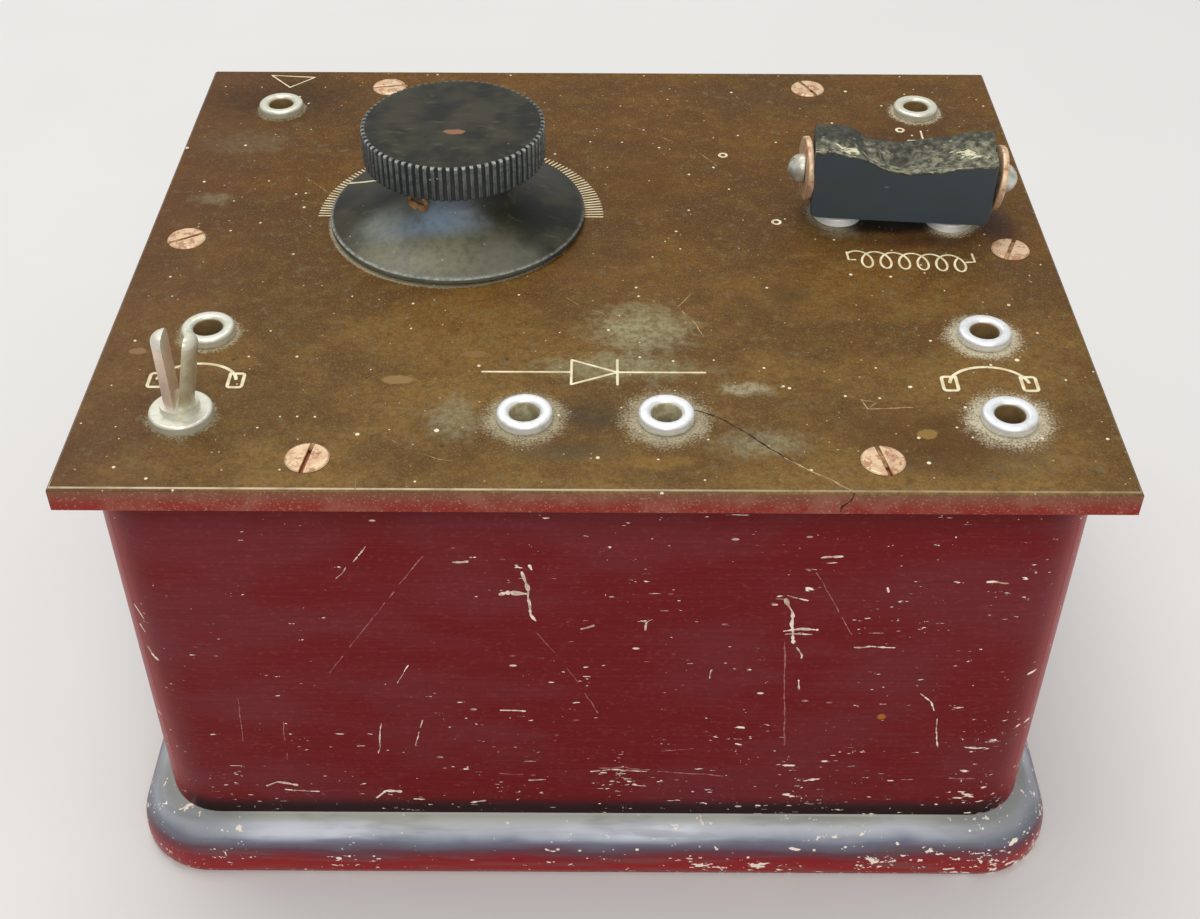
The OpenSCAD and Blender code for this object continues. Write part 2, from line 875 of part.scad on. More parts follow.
module dial_skirt() {
    outer = [for (i = [0 : flare_steps]) flare(i / flare_steps)];
    inner = [
        for (i = [0 : flare_steps])
            let (p = flare(i / flare_steps))
                if (p[0] - hollow_wall > hollow_r && p[1] - rim_t * 1.6 > rim_gap)
                    [p[0] - hollow_wall, p[1] - rim_t * 1.6]
    ];
    color(EBONITE_BLACK)
        on_knob()
            difference() {
                rotate_extrude($fn = 96)
                    difference() {
                        polygon(concat(
                            [[0, rim_gap], [skirt_r, rim_gap]], outer,
                            [[neck_r, grip_low], [0, grip_low]]
                        ));
                        polygon(concat(
                            [[0, rim_gap - cut], [skirt_r - 2 * hollow_wall, rim_gap - cut],
                             [skirt_r - 2 * hollow_wall, rim_gap]],
                            inner, [[hollow_r, insert_low], [0, insert_low]]
                        ));
                        square([insert_r + seat_clear, grip_low + cut]);
                    }
                translate([0, 0, set_screw_z])
                    rotate([0, 90, set_screw_turn - index_angle])
                        cylinder(h = neck_r + 2, r = set_screw_r + seat_clear);
            }
}

module knob_insert() {
    color(BRASS)
        on_knob()
            difference() {
                translate([0, 0, insert_low])
                    ring(insert_r, shaft_hole_r, insert_top - insert_low);
                translate([0, 0, set_screw_z])
                    rotate([0, 90, set_screw_turn - index_angle])
                        cylinder(h = neck_r + 2, r = set_screw_r + seat_clear);
            }
}

module knob_set_screw() {
    start = shaft_r + seat_clear;
    end = neck_r + 0.4;
    color(COPPER)
        on_knob()
            translate([0, 0, set_screw_z])
                rotate([0, 90, set_screw_turn - index_angle])
                    difference() {
                        translate([0, 0, start])
                            cylinder(h = end - start, r = set_screw_r);
                        translate([-0.3, -set_screw_r - cut, end - 0.8])
                            cube([0.6, 2 * (set_screw_r + cut), 0.8 + cut]);
                    }
}

module rotor_shaft() {
    color(BRASS)
        translate([knob_x, knob_y, bottom_plate_low])
            cylinder(h = panel_top + shaft_top - bottom_plate_low, r = shaft_r);
}

// A moving vane: a half disc on a round hub, trailing the index line
module moving_vane() {
    difference() {
        linear_extrude(vane_t)
            union() {
                circle(hub_r + 1);
                intersection() {
                    circle(vane_r, $fn = 128);
                    translate([-vane_r - cut, -vane_r - cut])
                        square([2 * (vane_r + cut), vane_r + cut]);
                }
            }
        translate([0, 0, -cut])
            cylinder(h = vane_t + 2 * cut, r = shaft_hole_r);
    }
}

module rotor_vanes() {
    color(ALUMINIUM)
        translate([knob_x, knob_y, 0])
            rotate(index_angle + 180)
                for (i = [0 : moving_vanes - 1])
                    translate([0, 0, moving_top - vane_t - i * vane_pitch])
                        mirror([0, 1, 0])
                            moving_vane();
}

module rotor_spacers() {
    collar_top = top_plate_low - bush_flange_t - thrust_gap;
    collar_low = bottom_plate_top + lower_flange_t + thrust_gap;
    color(BRASS)
        translate([knob_x, knob_y, 0]) {
            translate([0, 0, moving_top])
                ring(hub_r, shaft_hole_r, collar_top - moving_top);
            for (i = [1 : moving_vanes - 1])
                translate([0, 0, moving_top - i * vane_pitch])
                    ring(hub_r, shaft_hole_r, vane_pitch - vane_t);
            translate([0, 0, stop_top])
                ring(hub_r, shaft_hole_r, moving_low - stop_top);
            translate([0, 0, collar_low])
                ring(hub_r, shaft_hole_r, stop_low - collar_low);
        }
}

// The stop arm swings between the two outer stator rods
module stop_arm() {
    color(FIBRE)
        translate([knob_x, knob_y, stop_low])
            rotate(index_angle)
                difference() {
                    union() {
                        cylinder(h = stop_t, r = hub_r + 1);
                        translate([0, -stop_w / 2, 0])
                            cube([stop_reach, stop_w, stop_t]);
                    }
                    translate([0, 0, -cut])
                        cylinder(h = stop_t + 2 * cut, r = shaft_hole_r);
                }
}

module end_plate() {
    difference() {
        cylinder(h = end_plate_t, r = end_plate_r, $fn = 128);
        translate([0, 0, -cut])
            cylinder(h = end_plate_t + 2 * cut, r = bush_r + seat_clear);
        for (a = ROD_TURNS)
            translate(at(turned(rod_place_r, a), -cut))
                cylinder(h = end_plate_t + 2 * cut, r = rod_hole_r);
    }
}

module tuner_top_plate() {
    color(EBONITE_BLACK)
        translate([knob_x, knob_y, top_plate_low])
            difference() {
                end_plate();
                for (a = ROD_TURNS)
                    translate(at(turned(rod_place_r, a), end_plate_t))
                        countersink(end_plate_t, rod_head_r, rod_r);
            }
}

module tuner_bottom_plate() {
    color(EBONITE_BLACK)
        translate([knob_x, knob_y, bottom_plate_low])
            difference() {
                end_plate();
                translate([0, contact_screw_y, -cut])
                    cylinder(h = end_plate_t + 2 * cut, r = rod_hole_r);
            }
}

module bearing_bush() {
    low = top_plate_low - bush_flange_t;
    color(BRASS)
        translate([knob_x, knob_y, 0])
            difference() {
                union() {
                    translate([0, 0, low])
                        cylinder(h = bush_flange_t, r = bush_flange_r);
                    translate([0, 0, low])
                        cylinder(h = panel_top + bush_top - low, r = bush_r);
                }
                translate([0, 0, low - cut])
                    cylinder(h = panel_top + bush_top - low + 2 * cut, r = shaft_hole_r);
            }
}

module bush_nut() {
    color(BRASS)
        translate([knob_x, knob_y, panel_top])
            hex_nut(bush_nut_af, bush_nut_t, bush_r + seat_clear);
}

module lower_bush() {
    color(BRASS)
        translate([knob_x, knob_y, bottom_plate_low])
            difference() {
                union() {
                    cylinder(h = end_plate_t, r = bush_r);
                    translate([0, 0, end_plate_t])
                        cylinder(h = lower_flange_t, r = bush_flange_r);
                }
                translate([0, 0, -cut])
                    cylinder(h = end_plate_t + lower_flange_t + 2 * cut, r = shaft_hole_r);
            }
}

// A fixed vane: a half ring widened to a lug at each of its three rods
module fixed_vane() {
    difference() {
        linear_extrude(vane_t)
            difference() {
                union() {
                    intersection() {
                        circle(vane_r + 1.2, $fn = 128);
                        translate([-end_plate_r, -end_plate_r])
                            square([2 * end_plate_r, end_plate_r]);
                    }
                    for (a = ROD_TURNS)
                        translate(turned(rod_place_r, a))
                            circle(spacer_r);
                }
                circle(fixed_inner_r);
            }
        for (a = ROD_TURNS)
            translate(at(turned(rod_place_r, a), -cut))
                cylinder(h = vane_t + 2 * cut, r = rod_hole_r);
    }
}

module stator_vanes() {
    color(ALUMINIUM)
        for (i = [0 : fixed_vanes - 1])
            translate([knob_x, knob_y, stack_top - vane_t - i * vane_pitch])
                fixed_vane();
}

module stator_rods() {
    color(BRASS)
        for (a = ROD_TURNS)
            translate(at(knob_at(turned(rod_place_r, a)), 0)) {
                translate([0, 0, rod_low])
                    cylinder(h = panel_under - rod_low, r = rod_r);
                translate([0, 0, panel_under - rod_head_r + rod_r])
                    cylinder(h = rod_head_r - rod_r, r1 = rod_r, r2 = rod_head_r);
            }
}

module stator_spacers() {
    color(BRASS)
        for (a = ROD_TURNS)
            translate(at(knob_at(turned(rod_place_r, a)), 0)) {
                translate([0, 0, stack_top])
                    ring(spacer_r, rod_hole_r, end_room);
                for (i = [1 : fixed_vanes - 1])
                    translate([0, 0, stack_top - i * vane_pitch])
                        ring(spacer_r, rod_hole_r, vane_pitch - vane_t);
                translate([0, 0, bottom_plate_top])
                    ring(spacer_r, rod_hole_r, end_room);
            }
}

module stator_nuts() {
    color(BRASS)
        for (i = [0 : 2])
            translate(at(
                knob_at(turned(rod_place_r, ROD_TURNS[i])),
                bottom_plate_low - stator_nut_t - (i == 0 ? 0 : tag_t)
            ))
                hex_nut(stator_nut_af, stator_nut_t, rod_hole_r);
}

module stator_tags() {
    color(TINNED) {
        translate(at(detector_rod_at, bottom_plate_low))
            solder_tag(spacer_r, rod_hole_r, stator_tag_reach + 1, -90);
        translate(at(coil_rod_at, bottom_plate_low))
            solder_tag(spacer_r, rod_hole_r, stator_tag_reach + 1, 0);
    }
}

// A flat bronze leaf that bears on the end of the shaft
module contact_spring() {
    color(BRASS)
        translate([knob_x, knob_y, contact_under])
            difference() {
                translate([-contact_w / 2, -contact_w / 2, 0])
                    cube([contact_w, contact_reach + contact_w / 2, contact_t]);
                translate([0, contact_screw_y, -cut])
                    cylinder(h = contact_t + 2 * cut, r = rod_hole_r);
            }
}

module contact_screw() {
    head_h = 1.6;
    color(BRASS)
        translate([knob_x, knob_y + contact_screw_y, contact_under - head_h])
            difference() {
                union() {
                    cylinder(h = head_h, r = 2.6);
                    cylinder(h = head_h + contact_t + end_plate_t - 0.3, r = rod_r);
                }
                translate([-3, -0.4, -cut])
                    cube([6, 0.8, 0.7 + cut]);
            }
}

module phone_capacitor() {
    color(MICA_BROWN)
        translate([phone_cap_x, phone_cap_y, phone_cap_z])
            cube([phone_cap_w, phone_cap_d, phone_cap_h], center = true);
}

module capacitor_leads() {
    color(TINNED)
        for (y = [phone_upper_y, front_y])
            bus_wire([
                [phone_cap_x, phone_cap_y + sign(y - phone_cap_y) * phone_cap_d / 2, phone_cap_z],
                [phone_cap_x, y, phone_cap_z],
                [phone_cap_x, y, tag_under]
            ], lead_w);
}

module aerial_wire() {
    start = tail(TAGGED[0], tag_mid);
    end = tail(TAGGED[8], tag_mid);
    color(TINNED)
        bus_wire([
            at(start, tag_under), at(start, aerial_level),
            [start[0], back_run_y, aerial_level], [end[0], back_run_y, aerial_level],
            at(end, aerial_level), at(end, tag_under)
        ], wire_w);
}

module stator_coil_wire() {
    end = tail(TAGGED[8], tag_near);
    color(TINNED)
        bus_wire([
            at(coil_rod_tail, bottom_plate_low), at(coil_rod_tail, stator_coil_level),
            [coil_rod_tail[0], end[1], stator_coil_level],
            at(end, stator_coil_level), at(end, tag_under)
        ], wire_w);
}

module stator_detector_wire() {
    end = tail(TAGGED[2], tag_near);
    color(TINNED)
        bus_wire([
            at(detector_rod_tail, bottom_plate_low),
            at(detector_rod_tail, stator_detector_level),
            [end[0], detector_rod_tail[1], stator_detector_level],
            at(end, stator_detector_level), at(end, tag_under)
        ], wire_w);
}

module rotor_earth_wire() {
    end = tail(TAGGED[1], tag_near);
    color(TINNED)
        bus_wire([
            at(contact_tail, contact_under), at(contact_tail, rotor_level),
            [contact_tail[0], end[1], rotor_level], at(end, rotor_level), at(end, tag_under)
        ], wire_w);
}

module coil_earth_wire() {
    start = tail(TAGGED[9], tag_mid);
    end = tail(TAGGED[1], tag_mid);
    color(TINNED)
        bus_wire([
            at(start, tag_under), at(start, coil_earth_level),
            [start[0], end[1], coil_earth_level], [start[0], end[1], tag_under]
        ], wire_w);
}

module phone_wire_right() {
    start = tail(TAGGED[3], tag_mid);
    end = tail(TAGGED[5], tag_mid);
    run_y = phone_upper_y + 2 * tag_step;
    color(TINNED)
        bus_wire([
            at(start, tag_under), at(start, phone_right_level),
            [start[0], run_y, phone_right_level], [end[0], run_y, phone_right_level],
            at(end, phone_right_level), at(end, tag_under)
        ], wire_w);
}

module phone_wire_left() {
    start = tail(TAGGED[3], tag_near);
    end = tail(TAGGED[4], tag_mid);
    run_y = front_y + 1.6 * tag_step;
    color(TINNED)
        bus_wire([
            at(start, tag_under), at(start, phone_left_level),
            [start[0], run_y, phone_left_level], [end[0], run_y, phone_left_level],
            at(end, phone_left_level), at(end, tag_under)
        ], wire_w);
}

module phone_return_wire() {
    start = tail(TAGGED[7], tag_mid);
    end = tail(TAGGED[6], tag_mid);
    color(TINNED)
        bus_wire([
            at(start, tag_under), at(start, return_level),
            at(end, return_level), at(end, tag_under)
        ], wire_w);
}

module phone_earth_wire() {
    start = tail(TAGGED[6], tag_near);
    end = tail(TAGGED[9], tag_near);
    color(TINNED)
        bus_wire([
            at(start, tag_under), at(start, phone_earth_level),
            [start[0], end[1], phone_earth_level],
            at(end, phone_earth_level), at(end, tag_under)
        ], wire_w);
}

base_board();
base_screws();
case_front();
case_back();
case_left();
case_right();
panel();
panel_screws();
aerial_socket();
earth_socket();
detector_socket_left();
detector_socket_right();
phone_socket_left_upper();
phone_socket_right_upper();
phone_socket_right_lower();
coil_socket_left();
coil_socket_right();
phone_split_pin();
socket_nuts();
solder_tags();
plug_block();
plug_pins();
plug_screws();
plug_washers();
knob_grip();
dial_skirt();
knob_insert();
knob_set_screw();
rotor_shaft();
rotor_vanes();
rotor_spacers();
stop_arm();
tuner_top_plate();
tuner_bottom_plate();
bearing_bush();
bush_nut();
lower_bush();
stator_vanes();
stator_rods();
stator_spacers();
stator_nuts();
stator_tags();
contact_spring();
contact_screw();
phone_capacitor();
capacitor_leads();
aerial_wire();
stator_coil_wire();
stator_detector_wire();
rotor_earth_wire();
coil_earth_wire();
phone_wire_right();
phone_wire_left();
phone_return_wire();
phone_earth_wire();
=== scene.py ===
import json
import math
from functools import partial

import bmesh
import bpy
import numpy as np
from mathutils import Matrix, Vector


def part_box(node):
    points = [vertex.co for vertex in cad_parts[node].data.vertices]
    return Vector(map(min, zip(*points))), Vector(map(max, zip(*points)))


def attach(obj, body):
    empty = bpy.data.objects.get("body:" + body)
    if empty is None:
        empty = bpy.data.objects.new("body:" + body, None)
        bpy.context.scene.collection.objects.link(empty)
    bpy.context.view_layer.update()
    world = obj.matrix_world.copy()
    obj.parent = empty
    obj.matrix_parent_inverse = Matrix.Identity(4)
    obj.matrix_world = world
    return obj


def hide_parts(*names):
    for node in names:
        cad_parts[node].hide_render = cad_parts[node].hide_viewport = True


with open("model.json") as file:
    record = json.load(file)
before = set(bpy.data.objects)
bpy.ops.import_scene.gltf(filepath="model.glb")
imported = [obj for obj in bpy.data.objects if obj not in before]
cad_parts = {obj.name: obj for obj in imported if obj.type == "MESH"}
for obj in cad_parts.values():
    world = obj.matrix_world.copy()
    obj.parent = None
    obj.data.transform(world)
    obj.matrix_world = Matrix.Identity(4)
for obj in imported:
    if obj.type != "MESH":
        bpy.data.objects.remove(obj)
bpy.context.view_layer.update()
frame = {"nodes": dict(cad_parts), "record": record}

bl_info = {
    "name": "Crystal radio",
    "version": (1, 0, 0),
    "blender": (4, 5, 0),
    "location": "3D View > Sidebar > Radio",
    "description": "Dresses the packed crystal radio with its detailed pieces and finishes",
    "category": "Add Mesh",
}

MM = 0.001
UP = (0, 0, 1)


def box_mm(*nodes):
    """Lowest and highest corner of some CAD nodes together, in millimetres."""
    corners = np.array([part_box(n) for n in nodes], float) / MM
    return np.array([corners[:, 0].min(0), corners[:, 1].max(0)])


def middle_mm(node):
    """Middle of a CAD node's box, in millimetres."""
    return np.mean(box_mm(node), axis=0)


PANEL_TOP = float(box_mm("panel")[1][2])
BASE_HIGH = float(box_mm("base_board")[1][2])
# A point in the base's back right round corner. Chips and shade at all four corners go by it
BASE_CORNER = box_mm("base_board")[1][:2] - 5.0
# Half of the case's size in plan, and the radius of its upright corners
CASE_HALF = np.ptp(box_mm("case_front", "case_back", "case_left", "case_right"), axis=0)[:2] / 2
CASE_CORNER = 9.2
KNOB_X, KNOB_Y = (float(v) for v in middle_mm("rotor_shaft")[:2])
GRIP_LOW, GRIP_HIGH = box_mm("knob_grip")
SKIRT_TOP = float(box_mm("dial_skirt")[1][2])
# Radii of the skirt
SKIRT_RIM, SKIRT_NECK = 20.0, 9.0
SOCKET_NODES = [
    "aerial_socket", "earth_socket", "detector_socket_left", "detector_socket_right",
    "phone_socket_left_upper", "phone_socket_right_upper", "phone_socket_right_lower",
    "coil_socket_left", "coil_socket_right",
]
SOCKET_AT = {n: middle_mm(n)[:2] for n in SOCKET_NODES}
SPLIT_PIN_AT = np.array([SOCKET_AT["phone_socket_left_upper"][0], SOCKET_AT["phone_socket_right_lower"][1]])
PLUG_MIDDLE = (SOCKET_AT["coil_socket_left"] + SOCKET_AT["coil_socket_right"]) / 2
PLUG_ALONG = SOCKET_AT["coil_socket_right"] - SOCKET_AT["coil_socket_left"]
PLUG_ALONG = PLUG_ALONG / np.linalg.norm(PLUG_ALONG)
# The knob's index line at rest, turned from the x axis
INDEX_ANGLE = math.radians(157)


# ---- Settings ---------------------------------------------------------------------------


def linear(hex_colour):
    """An sRGB hex colour as linear red, green, blue and alpha."""
    parts = np.array([int(hex_colour[i:i + 2], 16) for i in (1, 3, 5)]) / 255
    flat = np.where(parts <= 0.04045, parts / 12.92, ((parts + 0.055) / 1.055) ** 2.4)
    return (*(float(v) for v in flat), 1.0)


def colour_setting(name, description, hex_colour):
    """A colour that the user can change, from its sRGB hex default."""
    return bpy.props.FloatVectorProperty(
        name=name, description=description, subtype="COLOR", size=4, min=0, max=1,
        default=linear(hex_colour))


def length_setting(name, description, millimetres):
    """A length that the user can change, from its default in millimetres."""
    return bpy.props.FloatProperty(
        name=name, description=description, unit="LENGTH", default=millimetres * MM, min=0, precision=5)


class RadioSizes(bpy.types.PropertyGroup):
    grip_edge: length_setting("Grip edge", "Rounding of the knob grip's top and bottom edges", 0.3)
    flute_depth: length_setting("Flute depth", "Depth of the flutes round the knob grip", 0.45)
    flutes: bpy.props.IntProperty(name="Flutes", description="Flutes round the knob grip", default=75, min=12)
    ticks: bpy.props.IntProperty(
        name="Dial divisions", description="Divisions of the half-circle scale", default=90, min=10)
    tick_width: length_setting("Tick width", "Width of one engraved tick", 0.26)
    tick_end: length_setting("Tick end", "Radius at which the ticks end", 22.5)
    line_width: length_setting("Engraving width", "Width of the engraved signs' lines", 0.4)
    fill_height: length_setting("Fill height", "How far the paint filling stands over the panel", 0.03)
    crumble: length_setting("Crumble", "Height of the lumps in the plug block's broken top", 1.0)
    worn_edge: length_setting("Worn edge", "Bevel of worn sharp edges", 0.12)


class RadioColours(bpy.types.PropertyGroup):
    ebonite: colour_setting("Panel, back", "Aged brown ebonite towards the back", "#67410d")
    ebonite_front: colour_setting("Panel, front", "Paler ebonite along the front", "#80602f")
    ebonite_dark: colour_setting("Panel, dark", "Darker clouds in the panel", "#4a2f12")
    dust: colour_setting("Dust", "Dust and bloom on the panel", "#aaa083")
    lacquer: colour_setting("Lacquer", "Oxblood lacquer of the case", "#6c0d10")
    lacquer_haze: colour_setting("Lacquer haze", "Purple-grey haze in the lacquer", "#6d242a")
    bare_wood: colour_setting("Bare wood", "Pale wood in chips of the lacquer", "#f6e8d6")
    black: colour_setting("Black ebonite", "Ebonite of the knob", "#17160d")
    black_worn: colour_setting("Black ebonite, dulled", "Handled patches of the knob", "#343120")
    slate: colour_setting("Slate ebonite", "Ebonite of the plug block", "#424c53")
    nickel: colour_setting("Nickel", "Worn nickel plating", "#f3f4f4")
    copper: colour_setting("Copper", "Tarnished copper and its screws", "#e6c6a0")
    brass: colour_setting("Brass", "Plain turned brass", "#b08d4f")
    filling: colour_setting("Filling", "Paint filling of the engraved signs", "#ece2c0")


def sizes():
    return bpy.context.scene.radio_sizes


def colours():
    return bpy.context.scene.radio_colours


# ---- Shapes -----------------------------------------------------------------------------


def grid_faces(rows, columns, wrap_rows=False, wrap_columns=False):
    """Quads between the neighbouring points of a grid that is stored row by row."""
    r, c = np.meshgrid(
        np.arange(rows if wrap_rows else rows - 1),
        np.arange(columns if wrap_columns else columns - 1), indexing="ij")
    r2, c2 = (r + 1) % rows, (c + 1) % columns
    return np.stack(
        [r * columns + c, r * columns + c2, r2 * columns + c2, r2 * columns + c], -1).reshape(-1, 4)


def rounded(corners, cut, steps=5, closed=False):
    """A polyline with round corners: each corner is cut back by its own length along both of its sides,
    and the cut ends are joined by the quadratic curve that has the corner as its middle control point."""
    p = np.asarray(corners, float)
    cut = np.broadcast_to(np.asarray(cut, float), len(p)).copy()
    before, after = np.roll(p, 1, 0), np.roll(p, -1, 0)
    if not closed:
        before[0], after[-1] = p[0], p[-1]
        cut[0] = cut[-1] = 0
    to_before, to_after = before - p, after - p
    length_before = np.maximum(np.linalg.norm(to_before, axis=1), 1e-9)
    length_after = np.maximum(np.linalg.norm(to_after, axis=1), 1e-9)
    cut = np.minimum(cut, 0.49 * np.minimum(length_before, length_after))
    a = p + to_before * (cut / length_before)[:, None]
    b = p + to_after * (cut / length_after)[:, None]
    s = np.linspace(0, 1, steps + 1)[None, :, None]
    points = ((1 - s) ** 2 * a[:, None] + 2 * s * (1 - s) * p[:, None] + s ** 2 * b[:, None]).reshape(-1, 2)
    keep = np.linalg.norm(points - np.roll(points, 1, 0), axis=1) > 1e-6
    keep[0] |= not closed
    return points[keep]


def turned(profile, steps=96, closed=False):
    """A profile of (radius, height) points carried round the z axis: x is the radius times the cosine of the
    turn, y the radius times its sine. A closed profile makes a ring, an open one has its ends on the axis."""
    a = np.linspace(0, 2 * np.pi, steps, endpoint=False)
    r, z = np.asarray(profile, float).T
    points = np.stack([r[:, None] * np.cos(a), r[:, None] * np.sin(a), np.repeat(z[:, None], steps, 1)], -1)
    return points.reshape(-1, 3), grid_faces(len(r), steps, closed, True)


def stroke(path, up, width, height, sink=0.05):
    """A raised line along a path: across it, a low arch as wide as the line, and below it a flat foot sunk in
    the surface. At both ends the section shrinks as the cosine of a quarter turn, which rounds the end."""
    path = np.asarray(path, float)
    up = np.broadcast_to(np.asarray(up, float), path.shape)
    half = np.broadcast_to(np.asarray(width, float) / 2, len(path))
    turn = np.linspace(0, np.pi / 2, 4)[1:]
    first, last = path[0] - path[1], path[-1] - path[-2]
    first, last = first / np.linalg.norm(first), last / np.linalg.norm(last)
    path = np.vstack([
        path[0] + first * half[0] * np.sin(turn[::-1])[:, None], path,
        path[-1] + last * half[-1] * np.sin(turn)[:, None]])
    up = np.pad(up, ((3, 3), (0, 0)), "edge")
    share = np.concatenate([np.cos(turn[::-1]), np.ones(len(path) - 6), np.cos(turn)])
    half = np.pad(half, 3, "edge")
    along = np.gradient(path, axis=0)
    along /= np.linalg.norm(along, axis=1)[:, None]
    side = np.cross(along, up)
    side /= np.linalg.norm(side, axis=1)[:, None]
    arch = np.linspace(0, np.pi, 5)
    across = np.concatenate([np.cos(arch), [-1, 1]])
    over = np.concatenate([height * np.sin(arch), [-sink, -sink]])
    points = (path[:, None] + side[:, None] * (across * (half * share)[:, None])[:, :, None]
              + up[:, None] * (over * share[:, None])[:, :, None])
    return points.reshape(-1, 3), grid_faces(len(path), len(across), False, True)


def along_path(path, step):
    """Points at even steps along a polyline, by its length."""
    path = np.asarray(path, float)
    length = np.concatenate([[0], np.cumsum(np.linalg.norm(np.diff(path, axis=0), axis=1))])
    at = np.linspace(0, length[-1], max(3, int(length[-1] / step) + 1))
    return np.column_stack([np.interp(at, length, column) for column in path.T])


def scratch(path, width, seed, gaps=0.0, wander=0.12):
    """Strokes of a hand-made scratch: the path is wandered aside by smooth noise, its width swells and thins
    by noise too, and a share of its length, in random runs, is left out."""
    points = along_path(path, 0.25)
    rng = np.random.default_rng(seed)
    run = np.arange(len(points)) * 0.25
    points = points + wander * np.column_stack([
        smooth_noise(run, run * 0 + k * 9.1, 1.3, seed) for k in range(points.shape[1])])
    widths = width * (0.3 + 1.1 * np.abs(smooth_noise(run, run * 0 + 40, 0.7, seed + 1)))
    if not gaps:
        return [(points, widths)]
    stops = [0]
    while stops[-1] < len(points):
        stops.append(stops[-1] + int(rng.integers(4, 12)))
    runs = [(points[a:b], widths[a:b]) for a, b in zip(stops[:-1], stops[1:]) if rng.random() >= gaps]
    return [run for run in runs if len(run[0]) >= 3]


def smooth_noise(x, y, cell, seed):
    """Heights from -1 to 1: random values at the corners of square cells, blended with a smooth step."""
    table = np.random.default_rng(seed).uniform(-1, 1, (64, 64))
    u, v = np.asarray(x) / cell + 31.3, np.asarray(y) / cell + 17.7
    i, j = np.floor(u).astype(int), np.floor(v).astype(int)
    s, t = u - i, v - j
    s, t = s * s * (3 - 2 * s), t * t * (3 - 2 * t)
    i, j, i1, j1 = i % 64, j % 64, (i + 1) % 64, (j + 1) % 64
    return ((table[i, j] * (1 - s) + table[i1, j] * s) * (1 - t)
            + (table[i, j1] * (1 - s) + table[i1, j1] * s) * t)


def moved(part, place=(0, 0, 0), basis=np.eye(3)):
    """A surface turned to the three axes in basis, one per row, and moved to its place."""
    points, faces = part
    return points @ np.asarray(basis, float) + np.asarray(place, float), faces


def make_piece(name, parts, material, body, replaces=(), sharp=35, marks=None):
    """One object from closed surfaces in millimetres. Poles and seams are merged, and faces point outwards.
    marks are point attributes, one value for each point."""
    offsets = np.cumsum([0] + [len(p[0]) for p in parts[:-1]])
    points = np.concatenate([p[0] for p in parts])
    faces = np.concatenate([p[1] + o for p, o in zip(parts, offsets)])
    mesh = bpy.data.meshes.new(name)
    mesh.from_pydata(points * MM, [], faces.tolist())
    for mark, values in (marks or {}).items():
        mesh.attributes.new(mark, "FLOAT", "POINT").data.foreach_set("value", np.asarray(values, np.float32))
    return finish_piece(name, mesh, material, body, replaces, sharp)


def finish_piece(name, mesh, material, body, replaces, sharp, flat_join=0.0):
    """Merges a mesh, makes it smooth up to an angle, and gives it its material and its body."""
    work = bmesh.new()
    work.from_mesh(mesh)
    bmesh.ops.remove_doubles(work, verts=work.verts, dist=1e-6)
    if flat_join:
        bmesh.ops.dissolve_limit(
            work, angle_limit=math.radians(flat_join), verts=work.verts, edges=work.edges)
    else:
        bmesh.ops.recalc_face_normals(work, faces=work.faces)
    work.to_mesh(mesh)
    work.free()
    mesh.shade_smooth()
    mesh.set_sharp_from_angle(angle=math.radians(sharp))
    piece = bpy.data.objects.new(name, mesh)
    bpy.context.scene.collection.objects.link(piece)
    mesh.materials.clear()
    mesh.materials.append(material)
    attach(piece, body)
    if replaces:
        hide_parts(*replaces)
    return piece


def worn_copy(node, name, material, body, bevel=None, segments=2):
    """A copy of a CAD node with worn, bevelled edges. Its loose triangles are merged first."""
    piece = finish_piece(
        name, frame["nodes"][node].data.copy(), material, body, (node,), 30, flat_join=0.2)
    worn = piece.modifiers.new("Worn edges", "BEVEL")
    worn.width = bevel or sizes().worn_edge
    worn.segments = segments
    worn.limit_method = "ANGLE"
    worn.angle_limit = math.radians(40)
    worn.harden_normals = False
    return piece


# ---- Materials --------------------------------------------------------------------------

# Short names for the nodes used here: type, settings, the sockets that values go into, and the one it gives
NODES = {
    "place": ("TexCoord", {}, (), 3),
    "normal": ("NewGeometry", {}, (), 1),
    "mark": ("Attribute", {"attribute_type": "GEOMETRY"}, (), 2),
    "parts": ("SeparateXYZ", {}, (0,), 0),
    "scaled": ("VectorMath", {"operation": "MULTIPLY_ADD"}, (0, 1, 2), 0),
    "from": ("VectorMath", {"operation": "SUBTRACT"}, (0, 1), 0),
    "size": ("VectorMath", {"operation": "ABSOLUTE"}, (0,), 0),
    "at least": ("VectorMath", {"operation": "MAXIMUM"}, (0, 1), 0),
    "length": ("VectorMath", {"operation": "LENGTH"}, (0,), 1),
    "noise": ("TexNoise", {}, ("Vector", "Detail", "Roughness", "Scale"), 0),
    "cells": ("TexVoronoi", {}, ("Vector", "Scale"), 0),
    "plus": ("Math", {"operation": "ADD"}, (0, 1), 0),
    "minus": ("Math", {"operation": "SUBTRACT"}, (0, 1), 0),
    "times": ("Math", {"operation": "MULTIPLY"}, (0, 1), 0),
    "most": ("Math", {"operation": "MAXIMUM"}, (0, 1), 0),
    "below": ("Math", {"operation": "LESS_THAN"}, (0, 1), 0),
    "step": ("MapRange", {"interpolation_type": "SMOOTHSTEP"}, (0, 1, 2, 3, 4), 0),
    "mix": ("Mix", {"data_type": "RGBA"}, (0, 6, 7), 2),
    "ramp": ("ValToRGB", {}, (0,), 0),
    "bump": ("Bump", {}, ("Height", "Distance", "Strength"), 0),
}


def fill(tree, socket, value):
    """Links a socket, or sets it. A text value is a hex colour."""
    if isinstance(value, bpy.types.NodeSocket):
        tree.links.new(value, socket)
    else:
        socket.default_value = linear(value) if isinstance(value, str) else value


